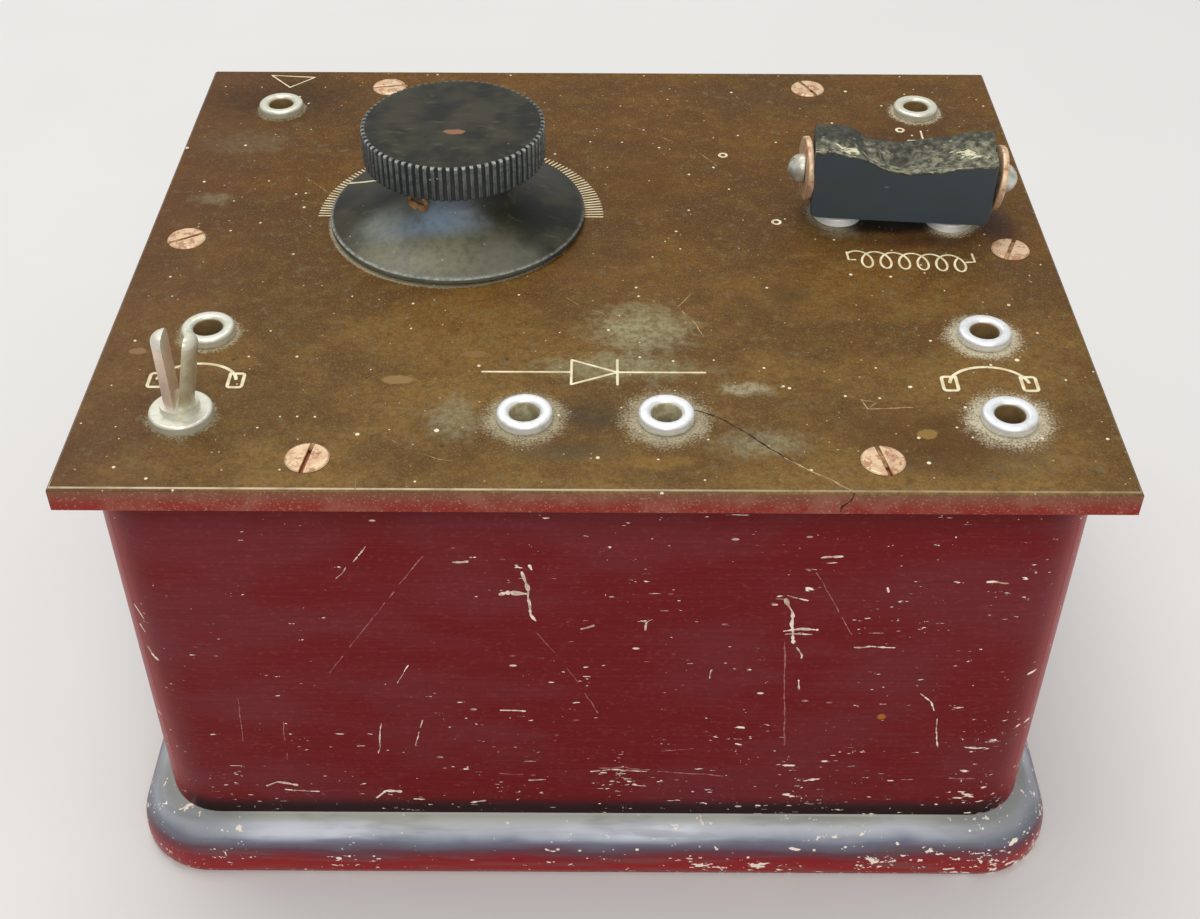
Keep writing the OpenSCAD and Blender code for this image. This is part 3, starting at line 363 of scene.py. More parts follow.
def add(tree, kind, *values, stops=(), **settings):
    """Adds a node with its settings, and fills or links its inputs in order. More values than it takes are
    chained through more of the same node. Returns its usual output."""
    name, usual, sockets, out = NODES[kind]
    if len(values) > len(sockets):
        values = (add(tree, kind, *values[:-1]), values[-1])
    made = tree.nodes.new("ShaderNode" + name)
    for key, value in {**usual, **settings}.items():
        setattr(made, key, value)
    for socket, value in zip(sockets, values):
        fill(tree, made.inputs[socket], value)
    if stops:
        elements = made.color_ramp.elements
        for _ in stops[2:]:
            elements.new(0.5)
        for element, (position, colour) in zip(elements, stops):
            element.position, element.color = position, linear(colour)
    return made.outputs[out]


# How far a pattern is moved aside for each count of its seed, in its own cells
SEED_STEP = (7.3, 3.1, 5.7)


def new_material(name):
    """An empty material, its way to add nodes, and the position in millimetres."""
    made = bpy.data.materials.new(name)
    made.use_nodes = True
    node = partial(add, made.node_tree)
    return made, node, node("scaled", node("place"), (1 / MM,) * 3, (0, 0, 0))


def surface(made, **sockets):
    """Fills the shader's sockets and returns the material."""
    tree = made.node_tree
    for key, value in sockets.items():
        name = "Specular IOR Level" if key == "specular" else key.replace("_", " ").title()
        fill(tree, tree.nodes["Principled BSDF"].inputs[name], value)
    return made


def layered(node, colour, *layers):
    """Colours laid over one another. Each comes in as a value goes from one level to another, up to a share."""
    for value, start, full, share, tint in layers:
        colour = node("mix", node("step", value, start, full, 0, share), colour, tint)
    return colour


def cells_of(node, mm, cell, stretch, seed):
    """The position counted in a pattern's cells, in millimetres, and moved aside by the pattern's seed."""
    return node("scaled", mm, tuple(s / cell for s in stretch), tuple(s * seed for s in SEED_STEP))


def cloud(node, mm, cell, seed, detail=3.0, stretch=(1, 1, 1), roughness=0.55):
    """Soft noise from 0 to 1 whose patches are about one cell across."""
    return node("noise", cells_of(node, mm, cell, stretch, seed), detail, roughness, 1.0)


def specks(node, mm, cell, radius, share, seed, stretch=(1, 1, 1)):
    """Dots with a radius of up to the one given, in a share of the cells."""
    cells = node("cells", cells_of(node, mm, cell, stretch, seed), 1.0)
    chance = node("parts", cells.node.outputs[1]).node.outputs
    reach = node("minus", node("times", chance[1], radius / cell), cells)
    return node("times", node("times", reach, 6 * cell / radius, use_clamp=True),
                node("below", chance[0], share))


def flaked(node, mm, ease, layers, dots, some):
    """Ragged flakes where fine clouds pass a level, the sooner the more a value eases them, with dots among
    them in some places. A layer is a cell, its stretch, the level and the seed."""
    flakes = []
    for cell, stretch, level, seed in layers:
        eased = node("plus", cloud(node, mm, cell, seed, 3.5, stretch, 0.62), ease)
        flakes.append(node("step", eased, level, level + 0.02))
    dots = node("most", *(specks(node, mm, *values) for values in dots))
    return node("most", node("most", *flakes), node("times", dots, some))


def spot(node, mm, x, y, reach_x, reach_y, soft=0.2):
    """An oval patch of the panel: 1 in its middle, falling to 0 at its reach."""
    away = node("scaled", mm, (1 / reach_x, 1 / reach_y, 0), (-x / reach_x, -y / reach_y, 0))
    return node("step", node("length", away), 1.0, soft)


# How far dust lies round the sockets, and the radius that it lies from, in millimetres
DUST_REACH = {
    "aerial_socket": 1.5, "earth_socket": 2.2, "detector_socket_left": 4.6, "detector_socket_right": 5.4,
    "phone_socket_left_upper": 2.4, "phone_socket_right_upper": 4.0, "phone_socket_right_lower": 5.2,
    "coil_socket_left": 3.0, "coil_socket_right": 3.0,
}
FLANGE_EDGE = 3.5
# Bloomed, dark and red-brown patches of the panel: place, reach both ways, colour and strength
PANEL_PATCHES = (
    (6.5, -22.5, 13, 10.5, "#938b68", 1.0), (3, -31.5, 19, 5.5, "#8e8664", 0.9),
    (20.5, -36.5, 6.5, 2.8, "#a59b7c", 0.9), (-0.5, -42.5, 8, 6.5, "#3b3425", 0.85),
    (-4, -49.8, 14, 3.6, "#46402f", 0.6), (22, -48, 11, 5.0, "#8c8466", 0.7),
    (-19, -43, 6, 8.5, "#8a8264", 0.7), (8, -52, 10, 2.8, "#86642e", 0.7),
    (63, 6, 6, 11, "#3a2a2c", 0.8), (50, 1.0, 17, 3.4, "#42271f", 0.8), (38, 4, 6, 3.6, "#8f8468", 0.6),
    (34, 0, 14, 6, "#5e401a", 0.4), (50, 26, 26, 24, "#4a2a12", 0.7), (56, -51, 10, 6, "#8f8560", 0.2),
    (28, -13.5, 7, 4.5, "#3a280f", 0.6), (-56, 47, 26, 15, "#3a2510", 0.85),
    (-10, -3, 27, 11, "#553719", 0.4), (48, -47, 26, 11, "#523313", 0.7), (8, 22, 9, 20, "#5a3b18", 0.5),
    (-60, 31, 14, 7, "#6e6249", 0.5), (-62, 13, 6, 3.2, "#857a5e", 0.55),
)
# Small tan stains: place, reach both ways and colour
PANEL_STAINS = (
    (-27.6, -34.6, 3.4, 1.5, "#8f7046"), (44.1, -46.0, 2.0, 1.7, "#8f6f38"),
    (-64.8, -28.3, 1.8, 1.1, "#8a6c4a"), (-17.0, -28.6, 2.6, 1.2, "#80623a"),
)
# Dots of dust, short lines both ways, pits and red specks: cell, radius, share, stretch, colour and strength
PANEL_SPECKS = (
    (0.9, 0.16, 0.18, (1, 1, 1), "#cfc198", 0.6), (2.2, 0.28, 0.55, (1, 1, 1), "#e6dab8", 0.9),
    (5.4, 0.40, 0.45, (1, 1, 1), "#ece2c6", 0.9), (5.0, 0.20, 0.5, (0.14, 1, 1), "#b8a27c", 0.35),
    (6.0, 0.20, 0.4, (1, 0.12, 1), "#b09a74", 0.35), (3.8, 0.35, 0.20, (1, 1, 1), "#3a2714", 0.6),
    (7.0, 0.35, 0.30, (1, 1, 1), "#93482e", 0.7),
)


def aged_ebonite():
    """Ebonite, hard rubber: pressed in a flat sheet, polished, and browned by light. The eye sees a dull olive
    brown with darker clouds, beige bloom round the metal parts, pale dust, pits and fine scratches."""
    made, node, mm = new_material("Aged brown ebonite")
    c = colours()
    wide = cloud(node, mm, 24, 1, 3, (1, 1.4, 1))
    near = cloud(node, mm, 5, 2, 4, (1, 1.3, 1))
    mottle = cloud(node, mm, 1.8, 6, 4, (1, 1.2, 1), 0.65)
    fine = cloud(node, mm, 0.7, 3, roughness=0.7)
    grain = cloud(node, mm, 0.34, 5, roughness=0.7)
    ragged = node("times", node("minus", cloud(node, mm, 1.9, 4, 4, roughness=0.7), 0.5), 1.6)
    across, depth, height = node("parts", mm).node.outputs
    colour = layered(
        node, c.ebonite, (depth, 20, -58, 1, c.ebonite_front), (wide, 0.62, 0.40, 0.6, c.ebonite_dark),
        (near, 0.47, 0.68, 0.26, "#7f6530"), (near, 0.46, 0.34, 0.22, "#57381a"),
        (mottle, 0.46, 0.32, 0.4, "#452e14"), (mottle, 0.54, 0.72, 0.35, "#8c7440"),
        (fine, 0.62, 0.38, 0.42, "#4a3418"), (grain, 0.50, 0.74, 0.45, "#96815a"),
        (across, -45, -72, 0.45, "#56382a"))
    dusty = node("step", fine, 0.34, 0.64, 0.4, 1.0)
    for x, y, reach_x, reach_y, tint, share in PANEL_PATCHES:
        oval = node("plus", spot(node, mm, x, y, reach_x, reach_y, 0.0), ragged)
        colour = node("mix", node("times", node("step", oval, 0.12, 0.95, 0, share), dusty), colour, tint)
    for x, y, reach_x, reach_y, tint in PANEL_STAINS:
        oval = node("plus", spot(node, mm, x, y, reach_x, reach_y, 0.3), node("times", ragged, 0.9))
        colour = layered(node, colour, (oval, 0.3, 0.65, 0.85, tint))
    # Fine dust round each socket and the split pin, and at the skirt's foot
    halo = node("most", *(
        node("step", node("length", node("scaled", mm, (1, 1, 0), (-x, -y, 0))), radius + reach, radius)
        for x, y, radius, reach in (
            *((*SOCKET_AT[name], FLANGE_EDGE, reach) for name, reach in DUST_REACH.items()),
            (*SPLIT_PIN_AT, FLANGE_EDGE, 2.6), (KNOB_X - 0.5, KNOB_Y - 0.5, 19.4, 0.9))))
    mealy = node("plus", halo, node("times", ragged, 0.55), node("times", node("minus", grain, 0.5), 2.0))
    mealy = node("step", mealy, 0.3, 1.15, 0, 0.9)
    # The dust is paler at the panel's right end
    dust = layered(node, c.dust, (across, 35, 50, 0.55, "#dcd4ba"))
    colour = node("mix", mealy, colour, dust)
    # Painted shade under the plug block: the panel is darkened round and beneath it as by the block's shadow,
    # with some grime
    under = node("plus", spot(node, mm, PLUG_MIDDLE[0] - 0.8, PLUG_MIDDLE[1] - 0.5, 16.0, 6.4, 0.3),
                 node("times", ragged, 0.4))
    colour = layered(node, colour, (under, 0.1, 0.9, 0.88, "#150f09"))
    for cell, radius, share, stretch, tint, strength in PANEL_SPECKS:
        dots = specks(node, mm, cell, radius, share, int(cell * 10), stretch)
        colour = node("mix", node("times", dots, strength), colour, tint)
    # The edge faces carry a painted reflection of a red cloth: red-brown, redder below. The worn arris over
    # them is pale
    upward = node("parts", node("normal")).node.outputs[2]
    side = layered(
        node, "#7c4c38", (height, PANEL_TOP - 0.6, PANEL_TOP - 3.2, 1, "#8a2c22"),
        (near, 0.45, 0.66, 0.4, "#9c6a58"), (grain, 0.56, 0.68, 0.6, "#b98a76"))
    colour = layered(node, colour, (upward, 0.35, 0.05, 1, side))
    arris = node(
        "times", node("step", height, PANEL_TOP - 0.2, PANEL_TOP - 0.1), node("step", upward, 0.995, 0.95),
        node("step", near, 0.3, 0.55, 0.4, 0.95), node("step", across, 40, -30, 0.4, 1.0),
        node("step", depth, -55.0, -57.4, 0.1, 1.0))
    colour = node("mix", arris, colour, "#d2bfa6")
    return surface(
        made, base_color=colour, specular=0.13, roughness=node("step", near, 0.3, 0.8, 0.36, 0.6),
        normal=node("bump", node("plus", fine, mealy, grain), 0.03 * MM, 0.5))


def rounded_case(node, mm):
    """How far a point lies outside the case's round-cornered plan: beyond the corners' centres, both ways,
    less the corners' radius."""
    inner = node("at least", node("from", node("size", mm), (*(CASE_HALF - CASE_CORNER), 0)), (0, 0, 0))
    return node("minus", node("length", node("scaled", inner, (1, 1, 0), (0, 0, 0))), CASE_CORNER)


def oxblood_lacquer():
    """Oxblood spirit lacquer, brushed over grained wood. The eye sees a satin deep red with purple-grey haze
    and fine lines along the grain, and many ragged cream chips, longer along the grain than across it. Part of
    the deep red is painted reflection of a red cloth."""
    made, node, mm = new_material("Oxblood lacquer on wood")
    c = colours()
    grain = cloud(node, mm, 0.42, 1, stretch=(0.03, 0.03, 1.0))
    haze = cloud(node, mm, 16, 2, stretch=(0.6, 0.6, 1.2))
    speckle = cloud(node, mm, 0.5, 9, 2, (0.6, 0.6, 1.0))
    across, _, height = node("parts", mm).node.outputs
    # Painted shade: darker under the panel's overhang, and the foot of the walls near black where the moulding
    # shades it
    colour = layered(
        node, c.lacquer, (haze, 0.42, 0.62, 0.7, c.lacquer_haze), (grain, 0.46, 0.72, 0.2, "#4a0a0e"),
        (grain, 0.50, 0.34, 0.08, "#7d4146"), (speckle, 0.55, 0.75, 0.2, "#8f4f4f"),
        (height, PANEL_TOP - 12, PANEL_TOP - 4, 0.45, "#430a0c"),
        (height, BASE_HIGH + 4.6, BASE_HIGH + 1.4, 0.9, "#191415"))
    # Painted reflection: the upright corners are a brighter red, where the red cloth shines in their rounding
    sides = node("parts", node("size", mm)).node.outputs
    edge = node("times", node("step", sides[0], CASE_HALF[0] - 6.0, CASE_HALF[0] - 0.3, 0, 0.8),
                node("step", sides[1], CASE_HALF[1] - 13.0, CASE_HALF[1] - 6.0))
    colour = node("mix", edge, colour, "#a01216")
    # More chips in worn patches, low down and to the right
    ease = node("plus", node("step", cloud(node, mm, 13, 3, 3, (1, 1, 1.3)), 0.38, 0.62, -0.035, 0.03),
                node("step", height, BASE_HIGH + 34, BASE_HIGH + 2, 0, 0.035),
                node("step", across, -40, 20, -0.012, 0.012))
    flakes = flaked(
        node, mm, ease, (
            (1.3, (0.32, 0.32, 1.2), 0.716, 4), (0.65, (0.4, 0.4, 1.1), 0.724, 5),
            (0.45, (0.10, 0.10, 1.3), 0.743, 6), (0.7, (1.0, 1.0, 0.3), 0.772, 7)),
        ((1.3, 0.17, 0.34, 8, (0.6, 0.6, 1.2)), (3.0, 0.32, 0.5, 11, (0.5, 0.5, 1.2))),
        node("step", node("plus", ease, cloud(node, mm, 8, 10)), 0.48, 0.68))
    colour = node("mix", flakes, colour, c.bare_wood)
    # One amber spot low on the front
    amber = node("length", node("scaled", mm, (1, 1, 1), (-42.2, CASE_HALF[1], -32.5)))
    colour = layered(node, colour, (amber, 0.8, 0.4, 0.85, "#b06a1c"))
    relief = node("plus", node("times", grain, 0.12), node("times", flakes, -0.8))
    return surface(
        made, base_color=colour, specular=0.12, roughness=node("step", flakes, 0, 1, 0.32, 0.7),
        normal=node("bump", relief, 0.05 * MM, 0.5))


def moulding_lacquer_with_painted_reflections():
    """Black lacquer on the base moulding, coloured by how far it faces up. The eye sees a grey-green top,
    partly bloom and partly painted reflection of the sky, a blue-grey painted highlight over the nose,
    purple-black below it and deep red at the foot, a painted reflection of a red cloth, with cream chips."""
    made, node, mm = new_material("Moulding lacquer with painted reflections")
    upward = node("parts", node("normal")).node.outputs[2]
    patch = cloud(node, mm, 7, 1, 4, (0.35, 0.35, 1.0))
    streak = cloud(node, mm, 1.2, 2, 3, (0.1, 0.1, 1.0))
    # Painted reflection by how far the face turns up: the sky's greys above, the red cloth's red at the foot
    facing_for_painted_reflection = node("plus", upward, node("times", node("minus", patch, 0.5), 0.45))
    colour = node("ramp", facing_for_painted_reflection, stops=(
        (0.0, "#92080a"), (0.16, "#84111a"), (0.36, "#5e3743"), (0.56, "#6f7283"), (0.76, "#b6b9c0"),
        (0.90, "#bfc1b9"), (1.0, "#bfbfb2")))
    colour = layered(node, colour, (streak, 0.46, 0.7, 0.3, "#62635f"))
    # A painted highlight: streaky whitish blue where the nose faces up at a slant
    painted_highlight = node("times", node("step", cloud(node, mm, 16, 6, 3, (0.5, 0.5, 1)), 0.46, 0.64, 0, 0.75),
                 node("step", upward, 0.5, 0.68), node("step", upward, 0.94, 0.78),
                 node("step", streak, 0.62, 0.42, 0.35, 1.0))
    colour = node("mix", painted_highlight, colour, "#dde0e8")
    joint = node("times", node("step", rounded_case(node, mm), 0.55, 0.2),
                 node("step", patch, 0.3, 0.55, 0.3, 0.9))
    colour = node("mix", joint, colour, "#c9c6bb")
    corner = node("length", node("scaled", node("size", mm), (1, 1, 0), (*-BASE_CORNER, 0)))
    shaded = node("times", node("step", corner, 20, 7, 0, 0.6), node("step", upward, 0.4, 0.6))
    colour = node("mix", shaded, colour, "#6a6d70")
    # More chips low down, along the right of the front, and most at the round corners
    across, _, height = node("parts", mm).node.outputs
    ease = node("plus", node("step", height, 8, 3, 0, 0.035), node("step", across, -10, 30, 0, 0.034),
                node("step", corner, 14, 5, 0, 0.05),
                node("step", cloud(node, mm, 12, 3), 0.4, 0.62, -0.02, 0.03))
    flakes = flaked(
        node, mm, ease, ((1.8, (0.5, 0.5, 1.1), 0.706, 4), (0.7, (0.5, 0.5, 1.0), 0.712, 5)),
        ((1.5, 0.24, 0.5, 7, (0.7, 0.7, 1)), (4.0, 0.6, 0.35, 8, (0.5, 0.5, 1))),
        node("step", ease, -0.01, 0.05))
    colour = node("mix", flakes, colour, colours().bare_wood)
    return surface(
        made, base_color=colour, specular=0.35, roughness=node("step", patch, 0.3, 0.7, 0.28, 0.45),
        normal=node("bump", node("plus", node("times", flakes, -1.0), node("times", streak, 0.3)),
                    0.05 * MM, 0.5))


# Painted highlights on the skirt, grey-green in front and blue before the neck, where the sky is reflected:
# place from the knob's axis, reach both ways, colour and strength
SKIRT_PAINTED_HIGHLIGHTS = (
    (-3, -14, 20, 11, "#86846b", 0.9), (9, -15, 8, 5, "#6c6c5c", 0.5),
    (-3.0, -9.8, 11, 3.6, "#8093a8", 0.9), (-10, -8, 7, 5.5, "#878e85", 0.7),
)


def black_ebonite():
    """Black ebonite, turned and milled, dulled by handling. The eye sees a dark olive grey with a broad soft
    painted highlight on the skirt, pale wear and painted highlights on the flutes' tips, a painted highlight
    on the rim, and grains of dust."""
    made, node, mm = new_material("Black turned ebonite")
    c = colours()
    patch = cloud(node, mm, 6, 1, 4)
    mottle = cloud(node, mm, 1.1, 8, 4, roughness=0.65)
    streaks = cloud(node, mm, 1.6, 2, 3, (0.5, 1.4, 1))
    height = node("parts", mm).node.outputs[2]
    upward = node("parts", node("normal")).node.outputs[2]
    colour = layered(
        node, c.black, (patch, 0.38, 0.66, 1, c.black_worn), (streaks, 0.56, 0.74, 0.35, "#5d5c42"),
        (upward, 0.5, 0.1, 0.6, "#424a50"))
    skirt = node("step", height, PANEL_TOP + 9, PANEL_TOP + 8)
    # Painted highlights on the skirt's flare, where the sky and lamps are reflected
    for x, y, reach_x, reach_y, tint, share in SKIRT_PAINTED_HIGHLIGHTS:
        bloom = node("times", spot(node, mm, KNOB_X + x, KNOB_Y + y, reach_x, reach_y, 0.1), skirt, share,
                     node("step", patch, 0.28, 0.5, 0.6, 1.0), node("step", mottle, 0.32, 0.6, 0.72, 1.0))
        colour = node("mix", bloom, colour, tint)
    # The worn mark is pale wear and painted highlight on the flutes' crests, and a painted highlight along the
    # skirt's rim
    worn = node("times", node("mark", attribute_name="worn"),
                node("step", cloud(node, mm, 0.8, 3, 2), 0.34, 0.6, 0.35, 1.0))
    colour = node("mix", worn, colour, "#b6b8b0")
    # A chip at the grip's top shows the browned inside
    top = float(GRIP_HIGH[2])
    chip = node("plus", spot(node, mm, -21.6, 5.2, 2.4, 1.1, 0.3),
                node("times", node("minus", cloud(node, mm, 1.2, 4), 0.5), 1.2))
    chip = node("times", node("step", chip, 0.3, 0.6), node("step", height, top - 0.2, top - 0.1))
    colour = node("mix", chip, colour, "#8a6044")
    dust = node("most", specks(node, mm, 1.5, 0.17, 0.28, 5), specks(node, mm, 5.0, 0.36, 0.25, 6))
    colour = node("mix", node("times", dust, 0.8), colour, "#c6c3b4")
    return surface(
        made, base_color=colour, specular=0.28, roughness=node("step", patch, 0.3, 0.75, 0.3, 0.44),
        normal=node("bump", cloud(node, mm, 0.5, 7, 2), 0.012 * MM, 0.6))


def broken_ebonite():
    """Slate-black ebonite, moulded, its top broken off. The eye sees a smooth dull slate face, and a fracture
    of grey-green grains with cream fibres on its two ledges and dark smooth hollows."""
    made, node, mm = new_material("Slate ebonite, broken")
    broken, pale, dark = (node("mark", attribute_name=a) for a in ("broken", "pale", "dark"))
    lumps = cloud(node, mm, 1.0, 1, 4)
    top = node("ramp", lumps, stops=(
        (0.26, "#2c2d25"), (0.42, "#4a4a3d"), (0.53, "#706e5b"), (0.64, "#8c8871"), (0.80, "#b6b096")))
    grains = node("most", specks(node, mm, 1.5, 0.62, 0.5, 2), specks(node, mm, 0.8, 0.3, 0.5, 8))
    top = node("mix", node("times", grains, 0.5), top, "#a29d88")
    top = node("mix", node("times", dark, 0.85), top, "#34352f")
    fibres = node("minus", cloud(node, mm, 0.9, 3, 4, (0.4, 1.7, 1.2), 0.65), 0.5)
    fibres = node("plus", pale, node("times", fibres, 3.0))
    flecks = cloud(node, mm, 0.9, 4, 3.5, (0.5, 1, 1), 0.62)
    top = layered(node, top, (fibres, 0.55, 0.75, 0.95, "#dcd6b4"), (flecks, 0.66, 0.685, 0.5, "#b9b69e"))
    patch = cloud(node, mm, 4.0, 5, 3, (0.6, 1, 1))
    face = layered(node, colours().slate, (patch, 0.36, 0.66, 1, "#444b4c"))
    marks = node("most", specks(node, mm, 3.0, 0.16, 0.35, 6, (0.3, 1, 1)),
                 specks(node, mm, 1.8, 0.16, 0.25, 7))
    face = node("mix", node("times", marks, 0.5), face, "#8f989c")
    relief = node("times", lumps, node("step", broken, 0, 1, 0.06, 1.0))
    return surface(
        made, base_color=node("mix", broken, face, top), specular=0.3,
        roughness=node("step", broken, 0, 1, 0.45, 0.75), normal=node("bump", relief, 0.35 * MM, 0.7))


def worn_nickel():
    """Nickel plating on turned brass, satin. The eye sees a pale, slightly yellow metal with greenish-brown
    tarnish, and dusty brown in the bores."""
    made, node, mm = new_material("Worn nickel plating")
    patch = cloud(node, mm, 1.4, 1, 4)
    bore = node("mark", attribute_name="bore")
    plated = node("minus", 1.0, bore)
    across, depth, height = node("parts", mm).node.outputs
    # The plating is painted whiter at the front, where the light falls, and greener towards the back as in
    # shade; it is greener at the left end too, and a greenish crust lies at the flanges' foot
    greener = node("most", node("step", depth, -36, 30, 0, 0.55), node("step", across, -35, -52, 0, 0.5))
    colour = node("mix", greener, colours().nickel, "#cdc89c")
    colour = layered(node, colour, (patch, 0.50, 0.74, 0.45, "#b0a67e"))
    crust = node("times", node("step", height, PANEL_TOP + 0.5, PANEL_TOP + 0.1, 0, 0.7),
                 node("step", patch, 0.35, 0.55, 0.3, 1.0))
    colour = node("mix", crust, colour, "#b4b184")
    # The legs of the split pin are worn to the copper below their tips
    tip = float(box_mm("phone_split_pin")[1][2])
    legs = node("times", node("step", height, PANEL_TOP + 2.2, PANEL_TOP + 3.6, 0, 0.75),
                node("step", height, tip - 1.0, tip - 2.6, 0.2, 1.0),
                node("step", patch, 0.62, 0.44, 0.55, 1.0), spot(node, mm, *SPLIT_PIN_AT, 9.0, 9.0, 0.8))
    leg = layered(node, "#c4b488", (across, SPLIT_PIN_AT[0] + 0.3, SPLIT_PIN_AT[0] - 0.3, 1, "#f8d6c0"))
    colour = node("mix", legs, colour, leg)
    # The bores hold brown dust, paler in the two of the detector
    hollow = node("mix", spot(node, mm, 0, -43, 14, 6, 0.8), "#8a7048", "#c8bf9c")
    hollow = layered(node, hollow, (patch, 0.4, 0.6, 0.5, "#6b5a38"))
    colour = node("mix", bore, colour, hollow)
    # Painted light: the flanges under the plug are near white and less metallic, standing in for light that the
    # block shades off them. The plug's domed screws are dull
    painted_light_under_plug = node("times", spot(node, mm, *PLUG_MIDDLE, 15.0, 7.0, 0.8),
                     node("step", height, PANEL_TOP - 0.5, PANEL_TOP))
    colour = node("mix", node("times", painted_light_under_plug, plated), colour, "#f8f8f2")
    domed = node("times", node("step", height, PANEL_TOP + 2.5, PANEL_TOP + 4.0),
                 spot(node, mm, *PLUG_MIDDLE, 21.0, 12.0, 0.9), node("step", patch, 0.36, 0.62, 0.1, 0.6))
    colour = node("mix", domed, colour, "#8d8674")
    return surface(
        made, base_color=colour, metallic=node("times", plated, node("step", painted_light_under_plug, 0, 1, 0.6, 0.15)),
        roughness=node("step", patch, 0.3, 0.75, 0.34, 0.56),
        normal=node("bump", cloud(node, mm, 0.3, 2, 2), 0.004 * MM, 0.6))


def tarnished_copper():
    """Copper, turned and long handled. The eye sees a dull pink-brown metal with pale scratches, and orange
    rust and dirt down in the slots."""
    made, node, mm = new_material("Tarnished copper")
    patch = cloud(node, mm, 1.8, 1, 4)
    colour = layered(node, colours().copper, (patch, 0.42, 0.7, 0.75, "#bb9174"))
    pale = specks(node, mm, 0.9, 0.26, 0.45, 2, (0.5, 1, 1))
    colour = node("mix", node("times", pale, 0.6), colour, "#f0dcc4")
    sunk = node("step", node("parts", mm).node.outputs[2], PANEL_TOP + 0.12, PANEL_TOP - 0.15)
    colour = node("mix", sunk, colour, node("mix", patch, "#6b3a1c", "#a8642e"))
    dirt = node("times", node("step", cloud(node, mm, 1.1, 4, 4, roughness=0.65), 0.52, 0.6, 0, 0.8),
                node("minus", 1.0, sunk))
    colour = node("mix", dirt, colour, "#a06a42")
    return surface(
        made, base_color=colour, metallic=node("step", node("plus", sunk, dirt), 0, 1, 0.45, 0),
        roughness=node("step", patch, 0.3, 0.8, 0.4, 0.65),
        normal=node("bump", cloud(node, mm, 0.35, 3), 0.025 * MM, 0.7))


def plain_metal(name, low, high, roughness, grain=(1, 1, 1)):
    """A metal with faint cloudy variation between two colours and a fine grain in its bump."""
    made, node, mm = new_material(name)
    patch = cloud(node, mm, 4, 1)
    return surface(
        made, base_color=node("mix", patch, low, high), metallic=1.0,
        roughness=node("step", patch, 0.3, 0.7, roughness - 0.08, roughness + 0.08),
        normal=node("bump", cloud(node, mm, 0.3, 2, 2, grain), 0.006 * MM, 0.6))


def turned_brass():
    """Brass, turned on a lathe and left bare: a warm yellow metal with fine rings."""
    return plain_metal("Turned brass", colours().brass, "#8c6c38", 0.34, (1, 1, 4))


def stamped_aluminium():
    """Aluminium sheet, stamped and left bare: a soft grey metal with a fine rolled grain."""
    return plain_metal("Stamped aluminium", "#b4b7b8", "#9da1a3", 0.4, (0.1, 1, 1))


def tinned_wire():
    """Copper wire, drawn square and tinned: a dull silver."""
    return plain_metal("Tinned copper", "#b7b4aa", "#98958a", 0.42)


def plain_solid(name, low, high, roughness):
    """A dull solid with cloudy variation between two colours."""
    made, node, mm = new_material(name)
    patch = cloud(node, mm, 2, 1, 4)
    return surface(
        made, base_color=layered(node, low, (patch, 0.35, 0.65, 1, high)), specular=0.3,
        roughness=node("step", patch, 0.3, 0.7, roughness - 0.06, roughness + 0.06),
        normal=node("bump", cloud(node, mm, 0.4, 2, 2), 0.015 * MM, 0.6))


def red_fibre():
    """Vulcanised fibre sheet, cut: a dull brick red with a faint paper fibre."""
    return plain_solid("Vulcanised fibre", "#7a3a2c", "#8c4a38", 0.6)


def moulded_brown():
    """Shellac compound, moulded: dark brown with a soft gloss."""
    return plain_solid("Moulded shellac compound", "#4a3324", "#5a4030", 0.4)


def paint_filling():
    """Oil paint pressed into the engraved lines and wiped off: chalky cream, with dirt in its surface."""
    return plain_solid("Cream paint filling", colours().filling, "#cdbf94", 0.65)


def crack_shadow():
    """The open crack: the dark inside of the ebonite."""
    return plain_solid("Dark inside of the ebonite", "#22170f", "#33231a", 0.8)


def scratched_ebonite():
    """Ebonite where a point has scored it: powdery beige."""
    return plain_solid("Scored ebonite", "#b29a70", "#8a7048", 0.8)


def scratched_wood():
    """Wood laid bare by scratches through the lacquer: dry and cream."""
    return plain_solid("Bare scratched wood", colours().bare_wood, "#b79a86", 0.75)


def scuffed_lacquer():
    """Lacquer scored but not cut through: a dull pink-grey line."""
    return plain_solid("Scuffed lacquer", "#8f4d4e", "#a8716c", 0.6)


def rust():
    """Iron rust round the set screw: crumbly orange-brown."""
    return plain_solid("Orange rust", "#6b4a2c", "#b48a5c", 0.8)


# The materials made so far, by the names of their functions
MADE = {}


def material(make):
    """The material that a function makes, made once."""
    if make.__name__ not in MADE:
        MADE[make.__name__] = make()
    return MADE[make.__name__]


# ---- Operators --------------------------------------------------------------------------


class RADIO_OT_case(bpy.types.Operator):
    """Case walls in oxblood lacquer, on the base moulding"""
    bl_idname = "radio.case"
    bl_label = "Case and base"

    def execute(self, context):
        for side in ("front", "back", "left", "right"):
            worn_copy("case_" + side, side + "_wall", material(oxblood_lacquer), "cabinet",
                      0.05 * MM)
        worn_copy("base_board", "base_moulding", material(moulding_lacquer_with_painted_reflections), "cabinet")
        return {"FINISHED"}


# The panel screws' places and their slots' turns, as in the CAD, and how far a slot's rust reaches
SCREWS = (
    (-37.5, -51.5, 82), (37.5, -51.5, 101), (-37.5, 51.5, 12), (37.5, 51.5, -64), (-63.75, 1, 31),
    (63.75, -1, 67),
)
SLOT_REACH = 2.8


